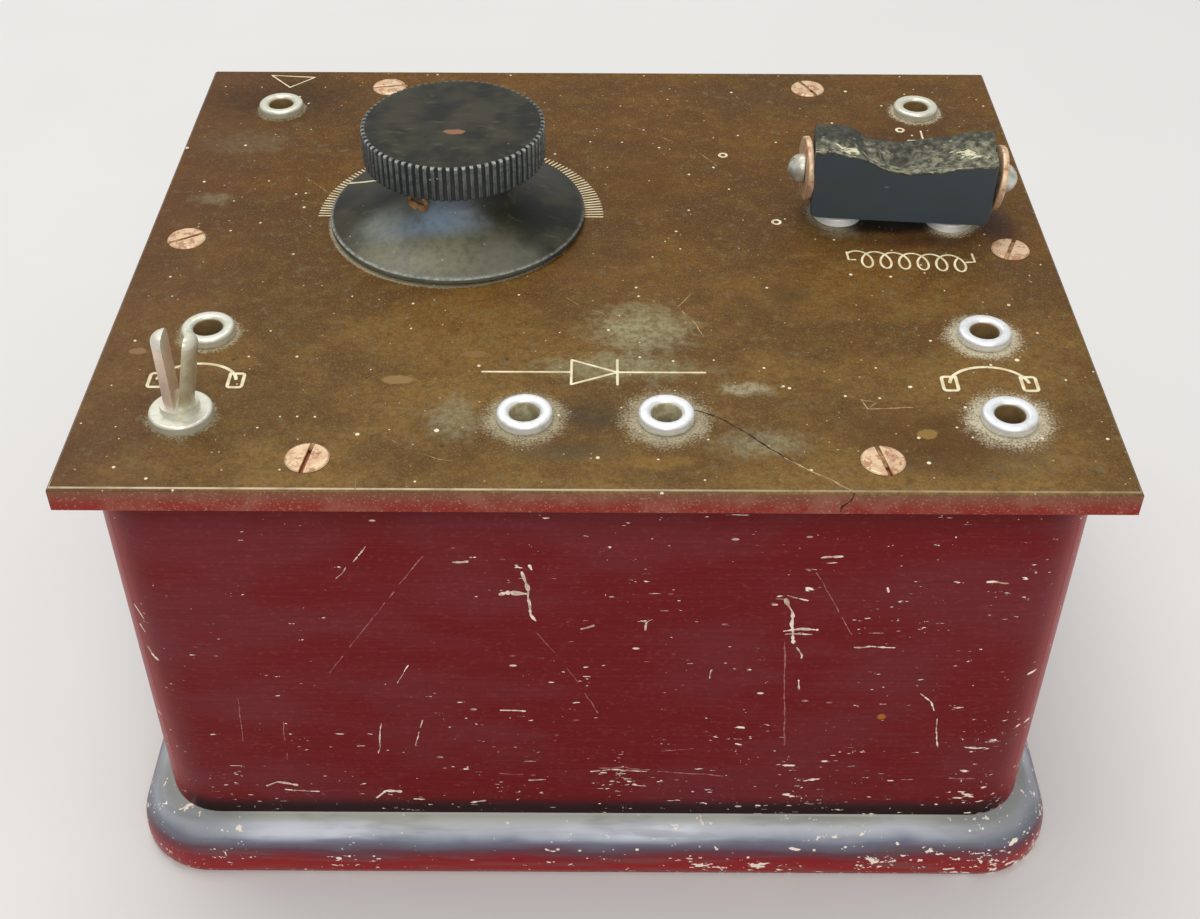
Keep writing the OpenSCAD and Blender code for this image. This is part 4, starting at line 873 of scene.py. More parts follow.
class RADIO_OT_panel(bpy.types.Operator):
    """Top panel of aged ebonite with its six screws"""
    bl_idname = "radio.panel"
    bl_label = "Panel"

    def execute(self, context):
        worn_copy("panel", "top_panel", material(aged_ebonite), "cabinet")
        worn_copy("panel_screws", "slotted_screws", material(tarnished_copper), "cabinet")
        # Rust and dirt fill most of each slot
        filling = []
        for seed, (x, y, turn) in enumerate(SCREWS):
            turn = math.radians(turn)
            reach = SLOT_REACH * np.array([math.cos(turn), math.sin(turn)])
            for points, widths in scratch([(x, y) - reach, (x, y) + reach], 0.6, seed, 0.25, 0.05):
                filling.append(stroke(on_panel(points), UP, 0.25 + widths, 0.2, 0.35))
        make_piece("slot_rust", filling, material(rust), "cabinet")
        return {"FINISHED"}


def on_panel(points):
    """Plan points set on the panel's top face."""
    points = np.asarray(points, float)
    return np.column_stack([points, np.full(len(points), PANEL_TOP)])


def arc(middle, radius, start, end, steps, squash=1.0):
    """Points of an arc between two angles in degrees."""
    a = np.radians(np.linspace(start, end, steps))
    return np.column_stack([middle[0] + radius * np.cos(a), middle[1] + radius * squash * np.sin(a)])


class RADIO_OT_signs(bpy.types.Operator):
    """Engraved and paint-filled circuit signs on the panel"""
    bl_idname = "radio.signs"
    bl_label = "Engraved signs"

    def execute(self, context):
        s = sizes()
        width, height = s.line_width / MM, s.fill_height / MM
        # The coil's loops: an even travel to the right and a little forwards, plus a turning oval
        t = np.linspace(-0.12, 5.86, 260)
        loops = np.column_stack([
            39.9 + 2.8 * t + 1.45 * np.sin(2 * np.pi * t),
            -3.75 - 0.21 * t + 2.2 * np.cos(2 * np.pi * t)])
        x = SOCKET_AT["earth_socket"][0]
        signs = {
            "aerial_sign": (0.65, [
                [(-59.3, 55.9), (-51.4, 55.2)], [(-51.4, 55.2), (-55.35, 51.3)],
                [(-55.35, 51.3), (-59.3, 55.9)]]),
            "coil_sign": (0.85, [
                loops, [(38.4, -1.9), (38.5, -4.0), (39.5, -4.0)],
                [(56.4, -4.6), (57.7, -4.5), (57.6, -2.3)]]),
            "earth_sign": (0.8, [
                [(x, 36.2), (x, 33.0)], [(x - 2.6, 33.0), (x + 2.6, 33.0)],
                [(x - 1.7, 32.0), (x + 1.7, 32.0)], [(x - 0.8, 31.0), (x + 0.8, 31.0)]]),
            "detector_sign": (0.9, [
                [(-15.8, -32.7), (-3.4, -32.7)], [(3.0, -32.7), (15.2, -32.7)],
                [(-3.4, -29.9), (-3.4, -35.5)], [(-3.4, -29.9), (3.0, -32.7)],
                [(-3.4, -35.5), (3.0, -32.7)], [(3.0, -29.9), (3.0, -35.5)]]),
        }
        for side, x in (("left", -55.2), ("right", 54.4)):
            signs[f"headphone_sign_{side}"] = (1.2, [
                arc((x, -35.2), 5.5, 8, 172, 33, 0.74),
                *(rounded([(x + s * 4.5, -33.4), (x + s * 4.5, -36.5), (x + s * 6.5, -36.5),
                           (x + s * 6.5, -33.4), (x + s * 4.5, -33.4)], 0.5) for s in (-1, 1))])
        for name, (share, lines) in signs.items():
            make_piece(name, [stroke(on_panel(line), UP, width * share, height) for line in lines],
                       material(paint_filling), "cabinet")
        bead = np.linspace(0, 2 * np.pi, 6, endpoint=False)
        ring = turned(np.column_stack([0.62 + 0.2 * np.cos(bead), 0.03 * np.sin(bead)]), 24, True)
        rings = [moved(ring, (x, y, PANEL_TOP)) for x, y in ((28.3, 6.7), (21.0, 27.7), (52.0, 36.6))]
        make_piece("ring_marks", rings, material(paint_filling), "cabinet")
        return {"FINISHED"}


# Scratches measured on the panel, in plan, and on the front wall, across and up. Each is a width, the share
# left out in gaps, and both coordinates of each point
PANEL_SCRATCHES = (
    (0.22, 0, 43, -40.3, 39.9, -40.5, 36.9, -40.7, 36.2, -38.7),
    (0.18, 0, 36.2, -38.7, 38.3, -39.1, 37.1, -40.4),
    (0.22, 0, 24.6, -50.8, 27.4, -53.2, 30.4, -55.3, 32.3, -57.1, 33, -57.7),
    (0.16, 0, 12.6, -18, 13.9, -20.1, 14.8, -22.2, 15.1, -23.6),
    (0.13, 0.2, 11.6, -17.3, 13.1, -14.8, 13.9, -13.5),
    (0.12, 0.4, -30.7, -45.1, -25.3, -49, -20.7, -51.5, -17.4, -52.3), (0.15, 0, -30.6, -55.6, -30.6, -57.5),
    (0.12, 0.3, -4.5, -14.5, -2, -17, 1, -18.5), (0.12, 0.3, -48, 20, -41, 12),
    (0.12, 0.4, 5, 38, 16, 30, 22, 21),
)
WALL_SCRATCHES = (
    (0.75, 0, -13, 57.6, -11.5, 57.9, -9.2, 57.7),
    (0.5, 0, -9.8, 61.8, -9.2, 59.2, -9.1, 56.3, -8.9, 53.7, -8.2, 52.4),
    (0.35, 0.3, -10.3, 65, -9.3, 64.3, -8.5, 62.3), (0.55, 0, 26.3, 56.7, 27.3, 54.4, 27.6, 50.8, 27.9, 48.2),
    (0.4, 0.1, 26.4, 50.6, 28.7, 51.1, 31, 50.8), (0.22, 0.1, 26.8, 50, 30.4, 50),
    (0.25, 0.1, 26.4, 57.6, 29.3, 56.6), (0.3, 0.5, 28.4, 47.4, 29.4, 45.7, 29.1, 42.2, 29.6, 38.4),
    (0.2, 0.4, -30.5, 66.6, -31.9, 64.5, -33.5, 62.6, -35.2, 60.2),
    (0.2, 0.55, -26.6, 43.1, -28.7, 39.1, -30.8, 36.2, -31.6, 30.9, -32.3, 25.1, -32.9, 21.2),
    (0.22, 0, -26.2, 28.6, -26.8, 25.5), (0.16, 0, -25.5, 31.2, -25.9, 29.6),
    (0.35, 0, -13.8, 33.6, -10.2, 33.4), (0.4, 0.15, -50.5, 15.6, -48.7, 16.7, -45.6, 15.9),
    (0.3, 0.3, -47.7, 14.8, -42.5, 14.3), (0.5, 0.1, -33.7, 12.9, -32.2, 14.6, -30, 14.4),
    (0.35, 0.1, -1.8, 50.8, -0.1, 51.6, 1.4, 51.3), (0.35, 0.2, -54.8, 11.9, -51.9, 11.8),
    (0.25, 0.4, -3.2, 18.9, 2.3, 20, 8, 19.6), (0.4, 0, -19.2, 11.7, -16.9, 12.4),
    (0.35, 0, -19.1, 63.6, -17.2, 63.8), (0.4, 0, 30.3, 64.8, 33.1, 65),
    (0.28, 0.2, 27.5, 63.1, 28.4, 63.9, 29.4, 63.8), (0.35, 0.1, 53.4, 60.4, 56.2, 60.2),
    (0.3, 0.3, 36.6, 47.3, 38.9, 47.5, 42.8, 47.3), (0.22, 0.4, 36, 36, 38.8, 35.3, 42.8, 35.3),
    (0.25, 0.1, 7.1, 50.7, 7.2, 52.2, 8.3, 53), (0.25, 0.2, 39.9, 59.1, 40.5, 57.6),
    (0.2, 0.2, 16.5, 40.8, 16.7, 42.6, 16.5, 39.5), (0.25, 0.3, -10, 17.4, -3.5, 17.6),
    (0.25, 0.2, 47.3, 37.7, 49.1, 35.6, 50.4, 32.2, 50.7, 29, 51.5, 25.7), (0.35, 0.3, 50.5, 34.8, 54, 34.6),
    (0.25, 0, -64.5, 52.9, -63.2, 50.9), (0.6, 0, -64.3, 48.9, -63.7, 48.1),
    (0.5, 0, -64, 44.6, -63.4, 43.3, -62.6, 42.9),
)
WALL_SCUFFS = (
    (0.16, 0.1, -23, 64.8, -26.8, 59.1, -30.1, 53.9, -33.5, 48.7, -37.9, 41.6),
    (0.3, 0.15, 0.8, 20.3, 4.6, 20.5, 10.4, 19.5, 16.1, 19.1, 21.9, 18.1),
    (0.28, 0.1, 51.8, 18.4, 55.6, 18.2, 59.4, 18.4), (0.2, 0.1, -14.4, 18.9, -9, 18.6),
    (0.22, 0.1, 26.7, 48.3, 28.5, 25.6), (0.16, 0.3, -8, 50, -3, 41, 0.5, 33), (0.18, 0.3, -52, 36, -52.8, 24),
    (0.16, 0.3, -46, 33.5, -46.5, 22), (0.16, 0.3, 10.2, 24.5, 14.8, 25), (0.16, 0.4, 30, 62, 36, 50),
)
# The crack, in plan from the right detector socket to the front edge, and down the edge face
CRACK = ((13.3, -41.0), (16.1, -42.3), (20.3, -46.1), (22.9, -49.1), (25.6, -51.6))
CRACK_DOWN = ((33.1, 78.5), (32.7, 77.3), (31.7, 76.3), (31.6, 75.3))


class RADIO_OT_wear(bpy.types.Operator):
    """Scratches on the panel and the front wall, and the crack across the panel's corner"""
    bl_idname = "radio.wear"
    bl_label = "Scratches and crack"

    def execute(self, context):
        front, edge = -CASE_HALF[1], float(box_mm("panel")[0][1])
        for name, marks, make, place in (
                ("panel_scratches", PANEL_SCRATCHES, scratched_ebonite, lambda p: (on_panel(p), UP)),
                ("wall_scratches", WALL_SCRATCHES, scratched_wood, partial(on_wall, front)),
                ("wall_scuffs", WALL_SCUFFS, scuffed_lacquer, partial(on_wall, front))):
            strokes = [
                stroke(*place(points), widths, 0.03)
                for seed, (width, gaps, *path) in enumerate(marks)
                for points, widths in scratch(np.reshape(path, (-1, 2)), width, seed, gaps)]
            make_piece(name, strokes, material(make), "cabinet")
        cracks = [stroke(on_panel(p), UP, w, 0.02) for p, w in scratch(CRACK, 0.3, 5)]
        cracks += [stroke(*on_wall(edge, p), w, 0.02) for p, w in scratch(CRACK_DOWN, 0.3, 6)]
        make_piece("panel_crack", cracks, material(crack_shadow), "cabinet")
        return {"FINISHED"}


def on_wall(front, points):
    """Points across and up a wall that faces the front, and the ways out of it there. Beyond the corners'
    centres both follow the case's round corners: the way out leans sideways by the sine of the turn."""
    across, height = np.asarray(points, float).T
    middle = CASE_HALF[0] - CASE_CORNER
    lean = np.sign(across) * np.maximum(np.abs(across) - middle, 0) / CASE_CORNER
    ahead = np.sqrt(1 - lean ** 2)
    return (np.column_stack([across, front + CASE_CORNER * (1 - ahead), height]),
            np.column_stack([lean, -ahead, np.zeros(len(lean))]))


class RADIO_OT_dial(bpy.types.Operator):
    """Half-circle dial scale on the panel and the index line on the skirt"""
    bl_idname = "radio.dial"
    bl_label = "Dial scale"

    def execute(self, context):
        make_piece("dial_scale", [dial_scale()], material(paint_filling), "cabinet")
        make_piece("index_line", [index_line()], material(paint_filling), "tuner")
        return {"FINISHED"}


def dial_scale():
    """One tick along the x axis, turned about the knob's axis to each division of the half circle. The scale's
    middle lies a little right of the knob's, so the right ticks' outer ends reach further out."""
    s = sizes()
    count = s.ticks + 1
    turn = np.linspace(0, np.pi, count)
    tick = [(SKIRT_RIM - 0.2, 0, 0), (s.tick_end / MM, 0, 0)]
    one, faces = stroke(tick, UP, s.tick_width / MM, s.fill_height / MM)
    x, y, z = one.T
    cos, sin = np.cos(turn)[:, None], np.sin(turn)[:, None]
    x = x + np.where(x > 21, 0.35 * cos, 0)
    points = np.stack([KNOB_X + x * cos - y * sin, KNOB_Y + x * sin + y * cos,
                       PANEL_TOP + np.repeat(z[None], count, 0)], -1)
    all_faces = faces[None] + (np.arange(count) * len(one))[:, None, None]
    return points.reshape(-1, 3), all_faces.reshape(-1, 4)


def index_line():
    """A stroke that lies on the skirt's flare at the index angle, its way up square to the flare's slope."""
    flare = skirt_flare(np.linspace(0.02, 0.32, 14))
    slope = np.gradient(flare, axis=0)
    normal = np.column_stack([-slope[:, 1], slope[:, 0]])
    normal /= np.linalg.norm(normal, axis=1)[:, None]
    normal *= np.sign(normal[:, 1:2])
    ray = np.array([math.cos(INDEX_ANGLE), math.sin(INDEX_ANGLE)])
    path = np.column_stack([KNOB_X + flare[:, 0] * ray[0], KNOB_Y + flare[:, 0] * ray[1],
                            PANEL_TOP + flare[:, 1]])
    up = np.column_stack([normal[:, 0] * ray[0], normal[:, 0] * ray[1], normal[:, 1]])
    return stroke(path, up, 0.45, 0.03)


def skirt_flare(u):
    """Outside of the skirt from its rim, u = 0, to its neck, u = 1: the radius falls as a power of what is
    left, and the height rises evenly."""
    u = np.asarray(u, float)
    return np.column_stack([SKIRT_NECK + (SKIRT_RIM - SKIRT_NECK) * (1 - u) ** 1.8, 1.3 + 5.7 * u])


class RADIO_OT_knob(bpy.types.Operator):
    """Fluted grip and flared dial skirt of the tuning knob, and the rust round its set screw"""
    bl_idname = "radio.knob"
    bl_label = "Tuning knob"

    def execute(self, context):
        grip, grip_wear_and_highlight = fluted_grip()
        make_piece("fluted_grip", [grip], material(black_ebonite), "tuner", ("knob_grip",), 50,
                   {"worn": grip_wear_and_highlight})
        skirt, skirt_rim_highlight = flared_skirt()
        make_piece("flared_skirt", [skirt], material(black_ebonite), "tuner",
                   ("dial_skirt",), 50, {"worn": skirt_rim_highlight})
        make_piece("set_screw_rust", [rust_ring()], material(rust), "tuner")
        return {"FINISHED"}


def fluted_grip():
    """The grip's outline carried round the axis, with its radius held down to a fluted one: the grip's radius
    less a depth that follows the cosine of the turn counted in flutes, raised, clipped to 0 and 1, and made a
    little fuller. With it comes how pale each point is, partly wear and partly painted highlight: along two
    fine lines on each crest and under the top edge, most at the front."""
    s = sizes()
    radius, depth = (GRIP_HIGH[0] - GRIP_LOW[0]) / 2, s.flute_depth / MM
    low, high = GRIP_LOW[2], GRIP_HIGH[2]
    side = rounded([(0, low), (radius, low), (radius, high), (0, high)], s.grip_edge / MM, 5)
    inner = np.array([3.0, 6.0, 9.0, 12.0, radius - depth - 0.25, radius - depth - 0.05])
    rows = np.vstack([side[:1], np.column_stack([inner, 0 * inner + low]), side[1:-1],
                      np.column_stack([inner[::-1], 0 * inner + high]), side[-1:]])
    a = np.linspace(0, 2 * np.pi, s.flutes * 16, endpoint=False)
    phase = (a * s.flutes / (2 * np.pi)) % 1
    groove = np.clip(1.6 * np.cos(2 * np.pi * phase) + 0.35, 0, 1) ** 0.8
    reach = np.minimum(rows[:, :1], radius - depth * groove[None])
    points = np.stack([KNOB_X + reach * np.cos(a), KNOB_Y + reach * np.sin(a),
                       np.repeat(rows[:, 1:], len(a), 1)], -1)
    crest = (1 - groove)[None] ** 2 * (reach > radius - 0.5)
    near_top = np.exp(-((rows[:, 1:] - (high - 0.12)) / 0.16) ** 2)
    handled = 0.55 - 0.45 * np.sin(a)[None]
    # Two fine painted highlight lines along each crest; under the top edge, wear and painted highlight, most at
    # the front
    lines = np.exp(-((phase - 0.3) / 0.035) ** 2) + 0.5 * np.exp(-((phase - 0.7) / 0.035) ** 2)
    worn = crest * ((0.06 + 0.42 * lines) * (rows[:, 1:] > low + 0.2) + 0.95 * near_top * handled)
    return (points.reshape(-1, 3), grid_faces(len(rows), len(a), False, True)), worn.ravel()


def flared_skirt(steps=160):
    """The skirt's section carried round the knob's axis: the flare outside, the neck, and below it the same
    flare moved in and down. With it comes a painted highlight along the rim's upper edge, by a cosine of the
    turn, most at the left and the front."""
    neck_top = SKIRT_TOP - PANEL_TOP
    rim, neck, hole = SKIRT_RIM, SKIRT_NECK, 5.55
    under = skirt_flare(np.linspace(0.12, 0.86, 16)) - [1.6, 1.44]
    under = under[(under[:, 0] > 8.2) & (under[:, 1] > 0.4)]
    profile = np.vstack([
        [[16.8, 0.4], [19.75, 0.4], [19.93, 0.5], [rim, 0.7], [rim, 1.1], [19.93, 1.25]],
        skirt_flare(np.linspace(0, 1, 40))[1:],
        [[neck, neck_top], [hole, neck_top], [hole, 5.0], [8.2, 5.0]], under[::-1]])
    # A painted highlight along the rim's upper edge, brightest at the left and the front
    lip = (profile[:, 0] > 19.9) & (profile[:, 1] > 1.2) & (profile[:, 1] < 1.4)
    around = 0.45 - 0.4 * np.cos(np.linspace(0, 2 * np.pi, steps, endpoint=False) - math.radians(50))
    return (moved(turned(profile, steps, True), (KNOB_X, KNOB_Y, PANEL_TOP)),
            (lip[:, None] * around).ravel())


def rust_ring():
    """Rust round the set screw: an oval carried in a ring, its size varied by smooth noise, on the neck."""
    turn = INDEX_ANGLE + math.radians(78.3)
    out = np.array([math.cos(turn), math.sin(turn), 0])
    a = np.linspace(0, 2 * np.pi, 14, endpoint=False)
    points, faces = turned(np.column_stack([1.6 + 0.3 * np.cos(a), 0.4 * np.sin(a)]), 40, True)
    points = points * (1 + 0.08 * smooth_noise(points[:, 0], points[:, 1], 0.7, 3)[:, None])
    place = np.array([KNOB_X, KNOB_Y, PANEL_TOP + 7.3]) + (SKIRT_NECK + 0.25) * out
    return moved((points, faces), place, [np.cross(UP, out), UP, out])


class RADIO_OT_sockets(bpy.types.Operator):
    """Turned sockets with round flanges and countersunk bores, and the split pin"""
    bl_idname = "radio.sockets"
    bl_label = "Sockets"

    def execute(self, context):
        low, high = (float(v) for v in box_mm("aerial_socket")[:, 2] - PANEL_TOP)
        bore, mouth, body, flange = 2.03, 2.45, 3.0, 3.8
        profile = rounded(
            [(bore, low), (body, low), (body, 0), (flange, 0), (flange, high), (mouth, high),
             (bore, high - 0.5)], [0.1, 0.2, 0.0, 0.12, 0.62, 0.3, 0.25], 6, closed=True)
        radius, height = profile.T
        inside = np.clip((2.25 - radius) / 0.15, 0, 1) * np.clip((high - 0.1 - height) / 0.4, 0, 1)
        steps = 72
        for node in SOCKET_NODES:
            x, y = SOCKET_AT[node]
            make_piece(node.replace("socket", "bush"), [moved(turned(profile, steps, True), (x, y, PANEL_TOP))],
                       material(worn_nickel), "cabinet", (node,), 40,
                       {"bore": np.repeat(inside, steps)})
        worn_copy("phone_split_pin", "split_pin", material(worn_nickel), "cabinet",
                  0.2 * MM, segments=3)
        return {"FINISHED"}


# The plug block: its ends and its whole depth, then the heights over the panel where its plain faces end, of
# its top on the mean, and of its middle
BLOCK_LEFT, BLOCK_RIGHT, BLOCK_DEPTH = -13.3, 14.3, 9.5
BLOCK_PLAIN, BLOCK_TOP, BLOCK_MIDDLE = 9.0, 13.0, 6.6


def hump(x, y, at_x, at_y, reach_x, reach_y):
    """A smooth hump: the exponential of minus the squared distance from its middle, counted in reaches."""
    return np.exp(-((x - at_x) / reach_x) ** 2 - ((y - at_y) / reach_y) ** 2)


def plug_top(x, y):
    """Height of the plug block's broken top over the panel: front and back outlines blended across the depth,
    a trough and a deeper hollow between them, and lumps of two sizes."""
    front = np.interp(x, [-13.3, -10.6, -8.4, -6.1, -4.6, -3.1, -1.9, 1.0, 3.5, 6.4, 9.9, 14.3],
                      [13.7, 13.8, 13.3, 12.8, 12.3, 11.5, 11.0, 10.7, 11.0, 11.4, 12.3, 12.9])
    back = np.interp(x, [-13.3, -10.3, -8.1, -6.9, -6.1, -5.2, -4.1, -2.2, -0.3, 3.4, 7.0, 10.6, 14.3],
                     [13.3, 13.4, 13.3, 12.7, 12.1, 11.3, 11.1, 11.1, 10.8, 11.6, 12.2, 13.0, 13.7])
    v = (y + BLOCK_DEPTH / 2) / BLOCK_DEPTH
    rim = np.sin(np.pi * np.clip(v, 0, 1))
    height = front + (back - front) * v
    height = height - 0.9 * rim * (0.4 + 0.6 * np.exp(-((x - 2) / 8) ** 2))
    height = height - 1.5 * hump(x, y, -0.4, 0.9, 2.3, 1.7)
    lumps = 0.5 * smooth_noise(x, y * 1.3, 1.7, 11) + 0.35 * smooth_noise(x, y, 0.8, 12)
    return height + sizes().crumble / MM * lumps * (0.25 + 0.75 * rim)


class RADIO_OT_plug(bpy.types.Operator):
    """Coil plug: broken ebonite block, copper washers and domed end screws"""
    bl_idname = "radio.plug"
    bl_label = "Coil plug"

    def execute(self, context):
        place = (*PLUG_MIDDLE, PANEL_TOP)
        basis = [[*PLUG_ALONG, 0], [-PLUG_ALONG[1], PLUG_ALONG[0], 0], UP]
        block, marks = broken_block()
        make_piece("broken_block", [moved(block, place, basis)], material(broken_ebonite), "coil_plug",
                   ("plug_block",), 40, marks)
        # They stand askew: the left one turned about the upright, the right one leaning out at the top
        washers = [washer(at, turn, lean)
                   for at, turn, lean in ((BLOCK_LEFT - 0.95, 8, 0), (BLOCK_RIGHT + 0.8, 3, 5.5))]
        make_piece("copper_washers", [moved(disc, place, basis) for disc in washers],
                   material(tarnished_copper), "coil_plug", ("plug_washers",))
        worn_copy("plug_screws", "domed_screws", material(worn_nickel), "coil_plug")
        return {"FINISHED"}


def broken_block():
    """The block's outline carried from front to back, its top lifted to the broken height. The front and back
    faces are sections that shrink to their middle. With it come the marks for the material: the fracture, its
    pale ledges and front edge, and its dark hollows, as humps and ramps in plan."""
    low = float(box_mm("plug_block")[0][2]) - PANEL_TOP
    left, right, half = BLOCK_LEFT, BLOCK_RIGHT, BLOCK_DEPTH / 2
    # Once round the outline: along the bottom, up the right end, over the top and down the left end
    base = rounded([(left, BLOCK_PLAIN), (left, low), (right, low), (right, BLOCK_PLAIN)], [0, 1.3, 1.3, 0], 7)
    wall = np.linspace(0, 1, 10)[1:-1]
    rise = np.concatenate([0 * base[:, 0], wall, np.ones(150), 1 - wall])
    outline_x = np.concatenate([base[:, 0], 0 * wall + right, np.linspace(right, left, 150), 0 * wall + left])
    outline_z = np.concatenate([base[:, 1], BLOCK_PLAIN + rise[len(base):] * (BLOCK_TOP - BLOCK_PLAIN)])
    faces = 0.985 * np.linspace(0, 1, 9) ** 0.7
    inset = np.concatenate([faces, np.ones(34), faces[::-1]])[:, None]
    depth = np.concatenate(
        [0 * faces - half, -half + BLOCK_DEPTH * (0.02 + 0.96 * np.linspace(0, 1, 34)), 0 * faces + half])
    x, y = np.meshgrid(outline_x, depth)
    z = outline_z + rise * (plug_top(x, y) - BLOCK_TOP)
    middle = (left + right) / 2
    x = middle + (x - middle) * inset
    z = BLOCK_MIDDLE + (z - BLOCK_MIDDLE) * inset
    fracture = (rise == 1) * (inset > 0.98)
    pale = np.max([
        0.9 * hump(x, y, -8.2, -1.8, 2.6, 1.5), 0.9 * hump(x, y + 0.35 * (x - 10.6), 10.6, -0.6, 2.8, 1.5),
        0.54 * hump(x, y, -9.5, -4.1, 3.4, 0.7), 0.5 * np.exp(-((y + 4.65) / 0.14) ** 2)], axis=0)
    dark = np.max([
        hump(x, y, -0.1, 1.1, 2.3, 1.7), 0.75 * np.clip((y - 1.0) / 3.0, 0, 1),
        np.clip((-x - 4.6) / 1.5, 0, 1) * np.clip((y + 0.6) / 1.2, 0, 1)], axis=0)
    points = np.stack([x, y, z], -1).reshape(-1, 3)
    return ((points, grid_faces(*x.shape, False, True)),
            {"broken": fracture.ravel(), "dark": dark.ravel(), "pale": pale.ravel()})


def washer(at, turn, lean):
    """A washer's section carried round the block's length, and tilted: its axis is turned about the upright
    and leans down, both in degrees."""
    lowest, highest = box_mm("plug_washers")[:, 2] - PANEL_TOP
    hole, radius = 1.6, (highest - lowest) / 2
    profile = rounded([(hole, 0), (radius, 0), (radius, 1), (hole, 1)], [0, 0.3, 0.3, 0.1], 4, closed=True)
    turn, lean = math.radians(turn), math.radians(lean)
    out = np.array([math.cos(turn) * math.cos(lean), math.sin(turn) * math.cos(lean), -math.sin(lean)])
    side = np.cross(UP, out)
    side = side / np.linalg.norm(side)
    return moved(turned(profile - [0, 0.5], 64, True), (at, 0, (lowest + highest) / 2),
                 [side, np.cross(out, side), out])


# Finishes of the CAD pieces that stay as they are, by their slots
INNER = {
    "brass": turned_brass, "aluminium_sheet": stamped_aluminium, "vulcanised_fibre": red_fibre,
    "tinned_copper": tinned_wire, "capacitor_case": moulded_brown, "nickelled_brass": worn_nickel,
    "tarnished_copper": rust, "black_ebonite": black_ebonite,
}


class RADIO_OT_works(bpy.types.Operator):
    """Finishes of the tuner, the wiring and the other CAD pieces that stay as they are"""
    bl_idname = "radio.works"
    bl_label = "Tuner and wiring"

    def execute(self, context):
        for part in frame["record"]["subparts"]:
            node = frame["nodes"][part["node"]]
            if node.hide_render:
                continue
            made = material(INNER[part["material_slot"]])
            for slot in node.material_slots:
                slot.material = made
            if not node.material_slots:
                node.data.materials.append(made)
        return {"FINISHED"}


# The camera solved from the photograph: millimetres, degrees, and the focal length in its pixels
CAMERA_PLACE = (0.85, -209.51, 212.82)
CAMERA_YAW, CAMERA_PITCH, CAMERA_ROLL = -0.074, 40.324, 0.214
FOCAL_PIXELS, IMAGE_WIDTH, SENSOR = 1592.3, 1200, 36.0
# The stage in metres. Each lamp is a name, its place, its size and its power in watts
FLOOR_HALF = 2.5
LAMPS = (("soft_key", (-0.14, 0.24, 1.0), 0.6, 5.2), ("soft_front", (0.1, -0.95, 0.95), 0.8, 6.0))
LAMP_TARGET = (0, 0, 0.05)
SKY_COLOUR, SKY_STRENGTH = (0.95, 0.97, 1.0, 1), 0.55


class RADIO_OT_stage(bpy.types.Operator):
    """Pale floor, soft lamps and the camera"""
    bl_idname = "radio.stage"
    bl_label = "Stage"

    def execute(self, context):
        scene = context.scene
        edge = np.array([(-1, -1, 0), (1, -1, 0), (1, 1, 0), (-1, 1, 0)], float) * FLOOR_HALF
        mesh = bpy.data.meshes.new("floor")
        mesh.from_pydata(edge, [], [(0, 1, 2, 3)])
        floor = bpy.data.objects.new("floor", mesh)
        scene.collection.objects.link(floor)
        mesh.materials.append(pale_floor())
        for name, place, size, power in LAMPS:
            light = bpy.data.lights.new(name, "AREA")
            light.size = size
            light.energy = power
            lamp = bpy.data.objects.new(name, light)
            lamp.location = place
            lamp.rotation_euler = (Vector(LAMP_TARGET) - Vector(place)).to_track_quat("-Z", "Y").to_euler()
            scene.collection.objects.link(lamp)
        world = bpy.data.worlds.new("soft_daylight")
        scene.world = world
        world.use_nodes = True
        sky = world.node_tree.nodes["Background"]
        sky.inputs["Color"].default_value = SKY_COLOUR
        sky.inputs["Strength"].default_value = SKY_STRENGTH
        scene.view_settings.view_transform = "Standard"
        camera = photo_camera()
        scene.collection.objects.link(camera)
        scene.camera = camera
        return {"FINISHED"}


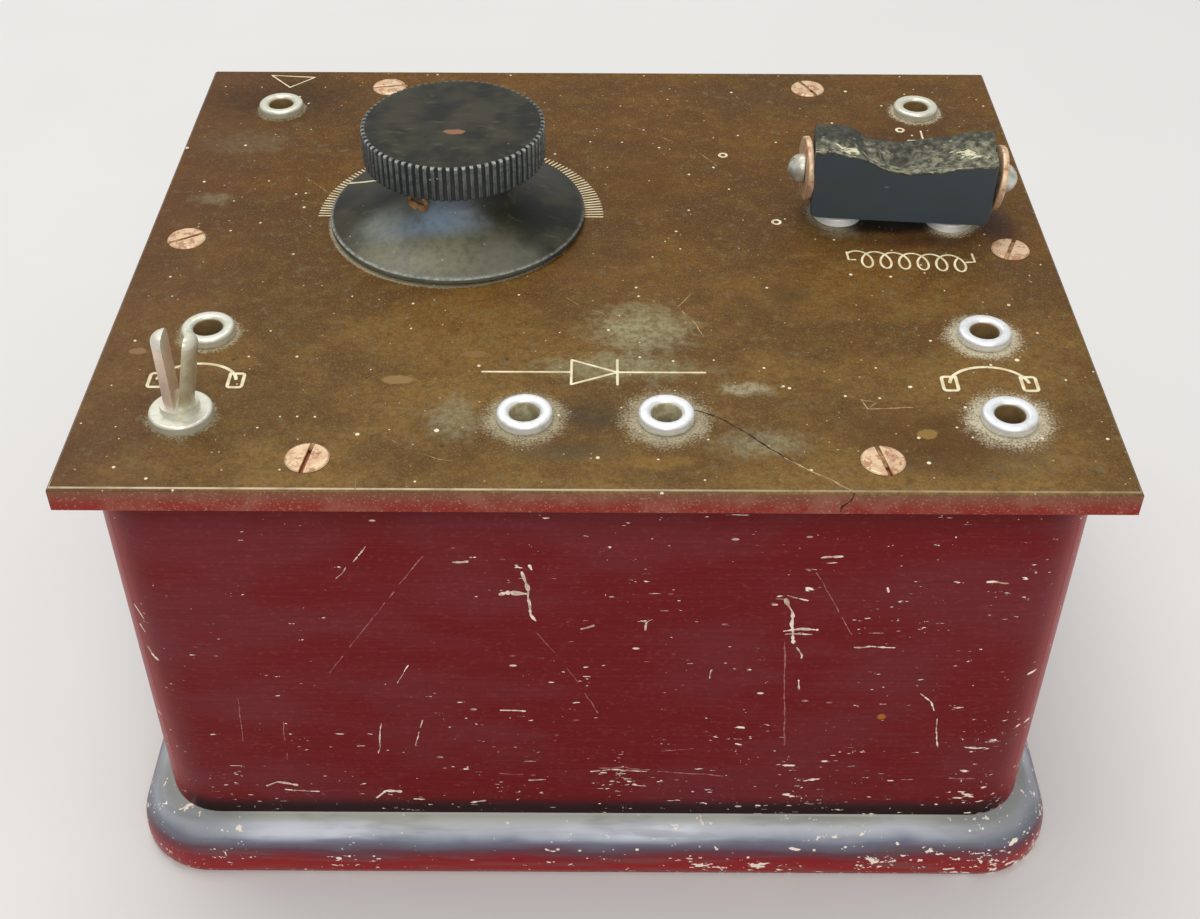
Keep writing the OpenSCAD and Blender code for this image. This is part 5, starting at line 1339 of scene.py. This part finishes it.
def photo_camera():
    """The camera where the photograph was taken from: turned by yaw and pitch, then rolled about its view."""
    camera = bpy.data.objects.new("camera", bpy.data.cameras.new("camera"))
    camera.data.sensor_width = SENSOR
    camera.data.lens = SENSOR * FOCAL_PIXELS / IMAGE_WIDTH
    camera.data.clip_start = 0.01
    yaw, pitch, roll = (math.radians(v) for v in (CAMERA_YAW, CAMERA_PITCH, CAMERA_ROLL))
    ahead = Vector((math.sin(yaw) * math.cos(pitch), math.cos(yaw) * math.cos(pitch), -math.sin(pitch)))
    side = ahead.cross(Vector(UP)).normalized()
    over = side.cross(ahead)
    side, over = (math.cos(roll) * side + math.sin(roll) * over,
                  -math.sin(roll) * side + math.cos(roll) * over)
    turn = Matrix((side, over, -ahead)).transposed().to_4x4()
    camera.matrix_world = Matrix.Translation(Vector(CAMERA_PLACE) * MM) @ turn
    return camera


def pale_floor():
    """Painted board: an even, pale, matt grey-white."""
    made, node, mm = new_material("Pale matt floor")
    patch = cloud(node, mm, 60, 1, 2)
    return surface(made, base_color=node("mix", patch, "#dcdad6", "#e1dfdb"), roughness=0.9, specular=0.2)


class RADIO_PT_sidebar(bpy.types.Panel):
    """Lists the radio's settings and the steps that make its pieces"""
    bl_idname = "RADIO_PT_sidebar"
    bl_label = "Crystal radio"
    bl_space_type = "VIEW_3D"
    bl_region_type = "UI"
    bl_category = "Radio"

    def draw(self, context):
        for group in (context.scene.radio_sizes, context.scene.radio_colours):
            for key in group.__annotations__:
                self.layout.prop(group, key)
        for operator in OPERATORS:
            self.layout.operator(operator.bl_idname)


OPERATORS = (
    RADIO_OT_case, RADIO_OT_panel, RADIO_OT_signs, RADIO_OT_dial, RADIO_OT_wear, RADIO_OT_knob,
    RADIO_OT_sockets, RADIO_OT_plug, RADIO_OT_works, RADIO_OT_stage,
)
CLASSES = (RadioSizes, RadioColours, *OPERATORS, RADIO_PT_sidebar)


def register():
    for each in CLASSES:
        bpy.utils.register_class(each)
    bpy.types.Scene.radio_sizes = bpy.props.PointerProperty(type=RadioSizes)
    bpy.types.Scene.radio_colours = bpy.props.PointerProperty(type=RadioColours)


def unregister():
    del bpy.types.Scene.radio_colours
    del bpy.types.Scene.radio_sizes
    for each in reversed(CLASSES):
        bpy.utils.unregister_class(each)


def main():
    register()
    for operator in OPERATORS:
        group, name = operator.bl_idname.split(".")
        getattr(getattr(bpy.ops, group), name)()
    bpy.context.view_layer.update()


if __name__ == "__main__":
    main()
